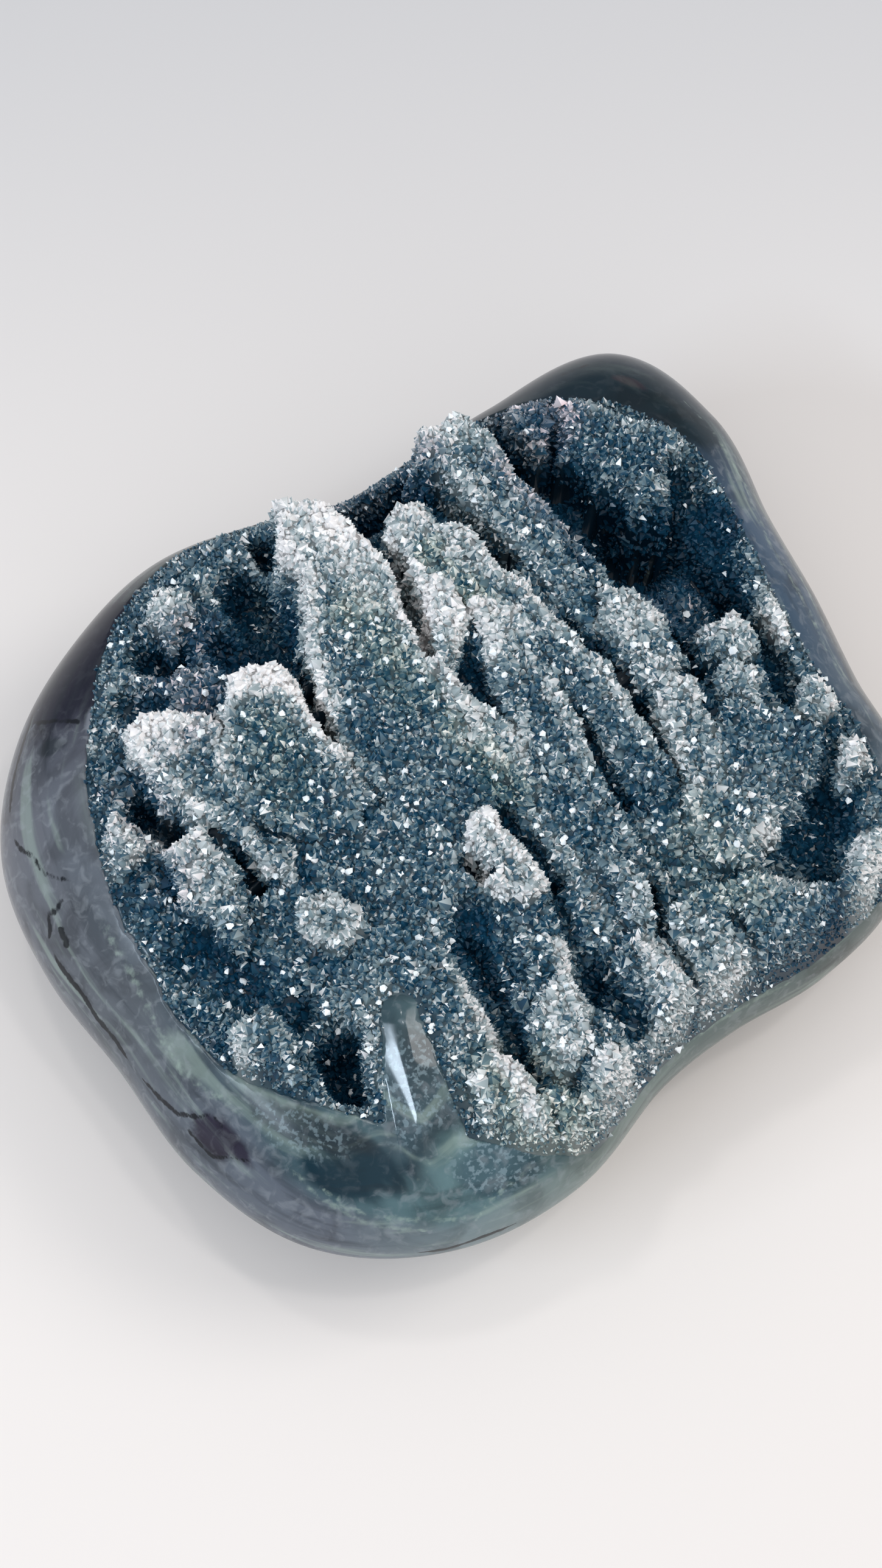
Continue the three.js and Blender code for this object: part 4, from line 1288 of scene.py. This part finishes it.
    def facet_tints(self, rng: np.random.Generator, x: np.ndarray, y: np.ndarray) -> np.ndarray:
        """Linear colours for every corner of every face of the points at x, y.

        A point's paleness strays from its place's and each face's strays from its point's, more in dark
        quartz than in pale, partly as random tone and partly as painted reflection. A face is darker towards the
        point's foot, painted shade, and paler towards its apex, painted light.

        Returns:
            An array of points by ten faces by three corners by red, green and blue.
        """
        count = len(x)
        pale = self.paleness(x, y)
        spread = ((1 - 0.62 * pale) * (0.4 + 0.6 * smooth(0, 0.22, pale)))[:, None]
        own = pale[:, None] + rng.normal(0, self.point_variety, (count, 1)) * spread
        facet = own + rng.normal(0, self.facet_variety, (count, 10)) * spread
        # Painted reflection: a share of faces is lifted paler, standing in for light reflected inside the quartz.
        facet = facet + (rng.uniform(0, 1, (count, 10)) < self.painted_reflection_share) * self.painted_reflection_lift * spread
        tint = self.palette.colour(np.clip(facet, 0, 1)) * self.hue(x, y, pale)[:, None, :]
        # Painted shade and light: each crown face's two ring corners are darker at the point's foot, its apex corner
        # paler.
        slope = np.zeros((10, 3))
        slope[:6, :2] = -0.5
        slope[:6, 2] = 0.25
        slope = 1 + slope * spread[:, :, None]
        return np.clip(tint[:, :, None, :] * slope[..., None], 0, 0.95)

    def build(self) -> list[bpy.types.Object]:
        """The bed and the points."""
        self.survey()
        return [self.build_bed(), *self.build_points()]


@dataclass(frozen=True)
class Lamp:
    """A rectangular lamp, placed to the camera's right, level ahead of it and up from the floor's middle."""

    name: str
    right: float
    ahead: float
    up: float
    width: float
    height: float
    power: float
    colour: tuple[float, float, float]


@dataclass(frozen=True)
class Studio:
    """A pale floor painted lighter towards the camera and darker away from it as painted light falloff, soft light,
    small bright lamps for the glints, and the camera.
    """

    azimuth: float = -43.0
    elevation: float = 65.0
    distance: float = 0.37
    lens: float = 54.0
    target: tuple[float, float, float] = (-0.00849, -0.0035, 0.025)
    near_floor_painted_light: tuple[float, float, float] = (0.75, 0.695, 0.66)
    far_floor_painted_shade: tuple[float, float, float] = (0.515, 0.505, 0.51)
    offset_right: float = 15.0
    offset_down: float = 30.0
    lamps: tuple[Lamp, ...] = (
        Lamp("key", 0.85, 0.2, 0.85, 0.6, 0.4, 4.2, (1.0, 0.98, 0.95)),
        Lamp("window", -0.72, -0.41, 0.6, 0.56, 0.08, 3.8, (0.72, 0.86, 1.0)),
        Lamp("fill", 0.1, -0.9, 0.6, 1.2, 0.8, 2.0, (1.0, 1.0, 1.0)),
        Lamp("glint_1", -0.15, 0.3, 1.0, 0.08, 0.08, 0.8, (1.0, 1.0, 1.0)),
        Lamp("glint_2", 0.3, 0.0, 1.0, 0.08, 0.08, 0.8, (1.0, 1.0, 1.0)),
    )

    def axes(self) -> tuple[np.ndarray, np.ndarray, np.ndarray]:
        """The camera's right, up and backward directions."""
        a, e = math.radians(self.azimuth), math.radians(self.elevation)
        back = np.array([math.sin(a) * math.cos(e), -math.cos(a) * math.cos(e), math.sin(e)])
        right = np.array([math.cos(a), math.sin(a), 0.0])
        return right, np.cross(back, right), back

    def aim(self, thing: bpy.types.Object, place: np.ndarray, target: np.ndarray) -> None:
        """Puts a camera or a lamp at a place and points it at a target."""
        thing.location = Vector(place)
        thing.rotation_euler = Vector(target - place).to_track_quat("-Z", "Y").to_euler()

    def add_camera(self) -> None:
        """The camera, aimed so that the stone's middle falls beside and below the picture's middle."""
        right, up, back = self.axes()
        data = bpy.data.cameras.new("camera")
        data.lens = self.lens
        data.sensor_width = SENSOR
        camera = bpy.data.objects.new("camera", data)
        bpy.context.scene.collection.objects.link(camera)
        target = np.array(self.target)
        pixel = self.distance / (self.lens / SENSOR * IMAGE_HEIGHT)
        aim = target - right * self.offset_right * pixel + up * self.offset_down * pixel
        self.aim(camera, target + back * self.distance, aim)
        bpy.context.scene.camera = camera

    def add_lamp(self, lamp: Lamp) -> None:
        """Puts a lamp in its place and points it at the stone."""
        right, _, back = self.axes()
        ahead = -back * np.array([1, 1, 0])
        ahead /= np.linalg.norm(ahead)
        data = bpy.data.lights.new(lamp.name, "AREA")
        data.shape = "RECTANGLE"
        data.size = lamp.width
        data.size_y = lamp.height
        data.energy = lamp.power
        data.color = lamp.colour
        made = bpy.data.objects.new(lamp.name, data)
        bpy.context.scene.collection.objects.link(made)
        spot = right * lamp.right + ahead * lamp.ahead + np.array([0, 0, lamp.up])
        self.aim(made, spot, np.array([0.0, 0.0, 0.03]))

    def build(self) -> None:
        """Floor, lamps, sky and camera."""
        bpy.ops.mesh.primitive_plane_add(size=4.0)
        floor = bpy.context.object
        floor.name = "floor"
        shader = Shader("floor")
        shader.set(roughness=0.8)
        _, up, _ = self.axes()
        # Painted light: the floor's colour runs from a lighter near colour to a darker far one, standing in for
        # light falling off.
        place = shader.node("ShaderNodeTexCoord").outputs["Object"]
        across = (up[0], up[1], 0.0)
        far = shader.node("ShaderNodeVectorMath", {"operation": "DOT_PRODUCT"}, {0: place, 1: across})
        share = shader.ramp(far.outputs["Value"], -0.05, 0.24)
        shader.link(shader.mix(share, self.near_floor_painted_light, self.far_floor_painted_shade), "Base Color")
        floor.data.materials.append(shader.material)
        for lamp in self.lamps:
            self.add_lamp(lamp)
        self.add_sky()
        bpy.context.scene.view_settings.view_transform = "Standard"
        self.add_camera()

    def add_sky(self) -> None:
        """A sky that is dim at the horizon and bright overhead."""
        world = bpy.data.worlds.new("sky")
        bpy.context.scene.world = world
        world.use_nodes = True
        tree = world.node_tree
        background = tree.nodes["Background"]
        background.inputs["Color"].default_value = (0.93, 0.96, 1.0, 1)
        place = tree.nodes.new("ShaderNodeTexCoord")
        split = tree.nodes.new("ShaderNodeSeparateXYZ")
        rise = tree.nodes.new("ShaderNodeMapRange")
        for name, value in (("From Min", 0.0), ("From Max", 0.95), ("To Min", 0.22), ("To Max", 0.92)):
            rise.inputs[name].default_value = value
        tree.links.new(place.outputs["Generated"], split.inputs[0])
        tree.links.new(split.outputs["Z"], rise.inputs["Value"])
        tree.links.new(rise.outputs["Result"], background.inputs["Strength"])


def main() -> None:
    """Builds the stone and the studio."""
    logging.basicConfig(level=logging.INFO, format="%(name)s: %(message)s")
    body = AgateBody().build()
    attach(body, "root")
    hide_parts(Part.BODY.value)
    LOG.info("polished agate: %d points", len(body.data.vertices))
    for piece in DruzyCrust().build():
        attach(piece, "root")
        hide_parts(Part.CRUST.value)
        LOG.info("%s: %d faces", piece.name, len(piece.data.polygons))
    Studio().build()


if __name__ == "__main__":
    main()
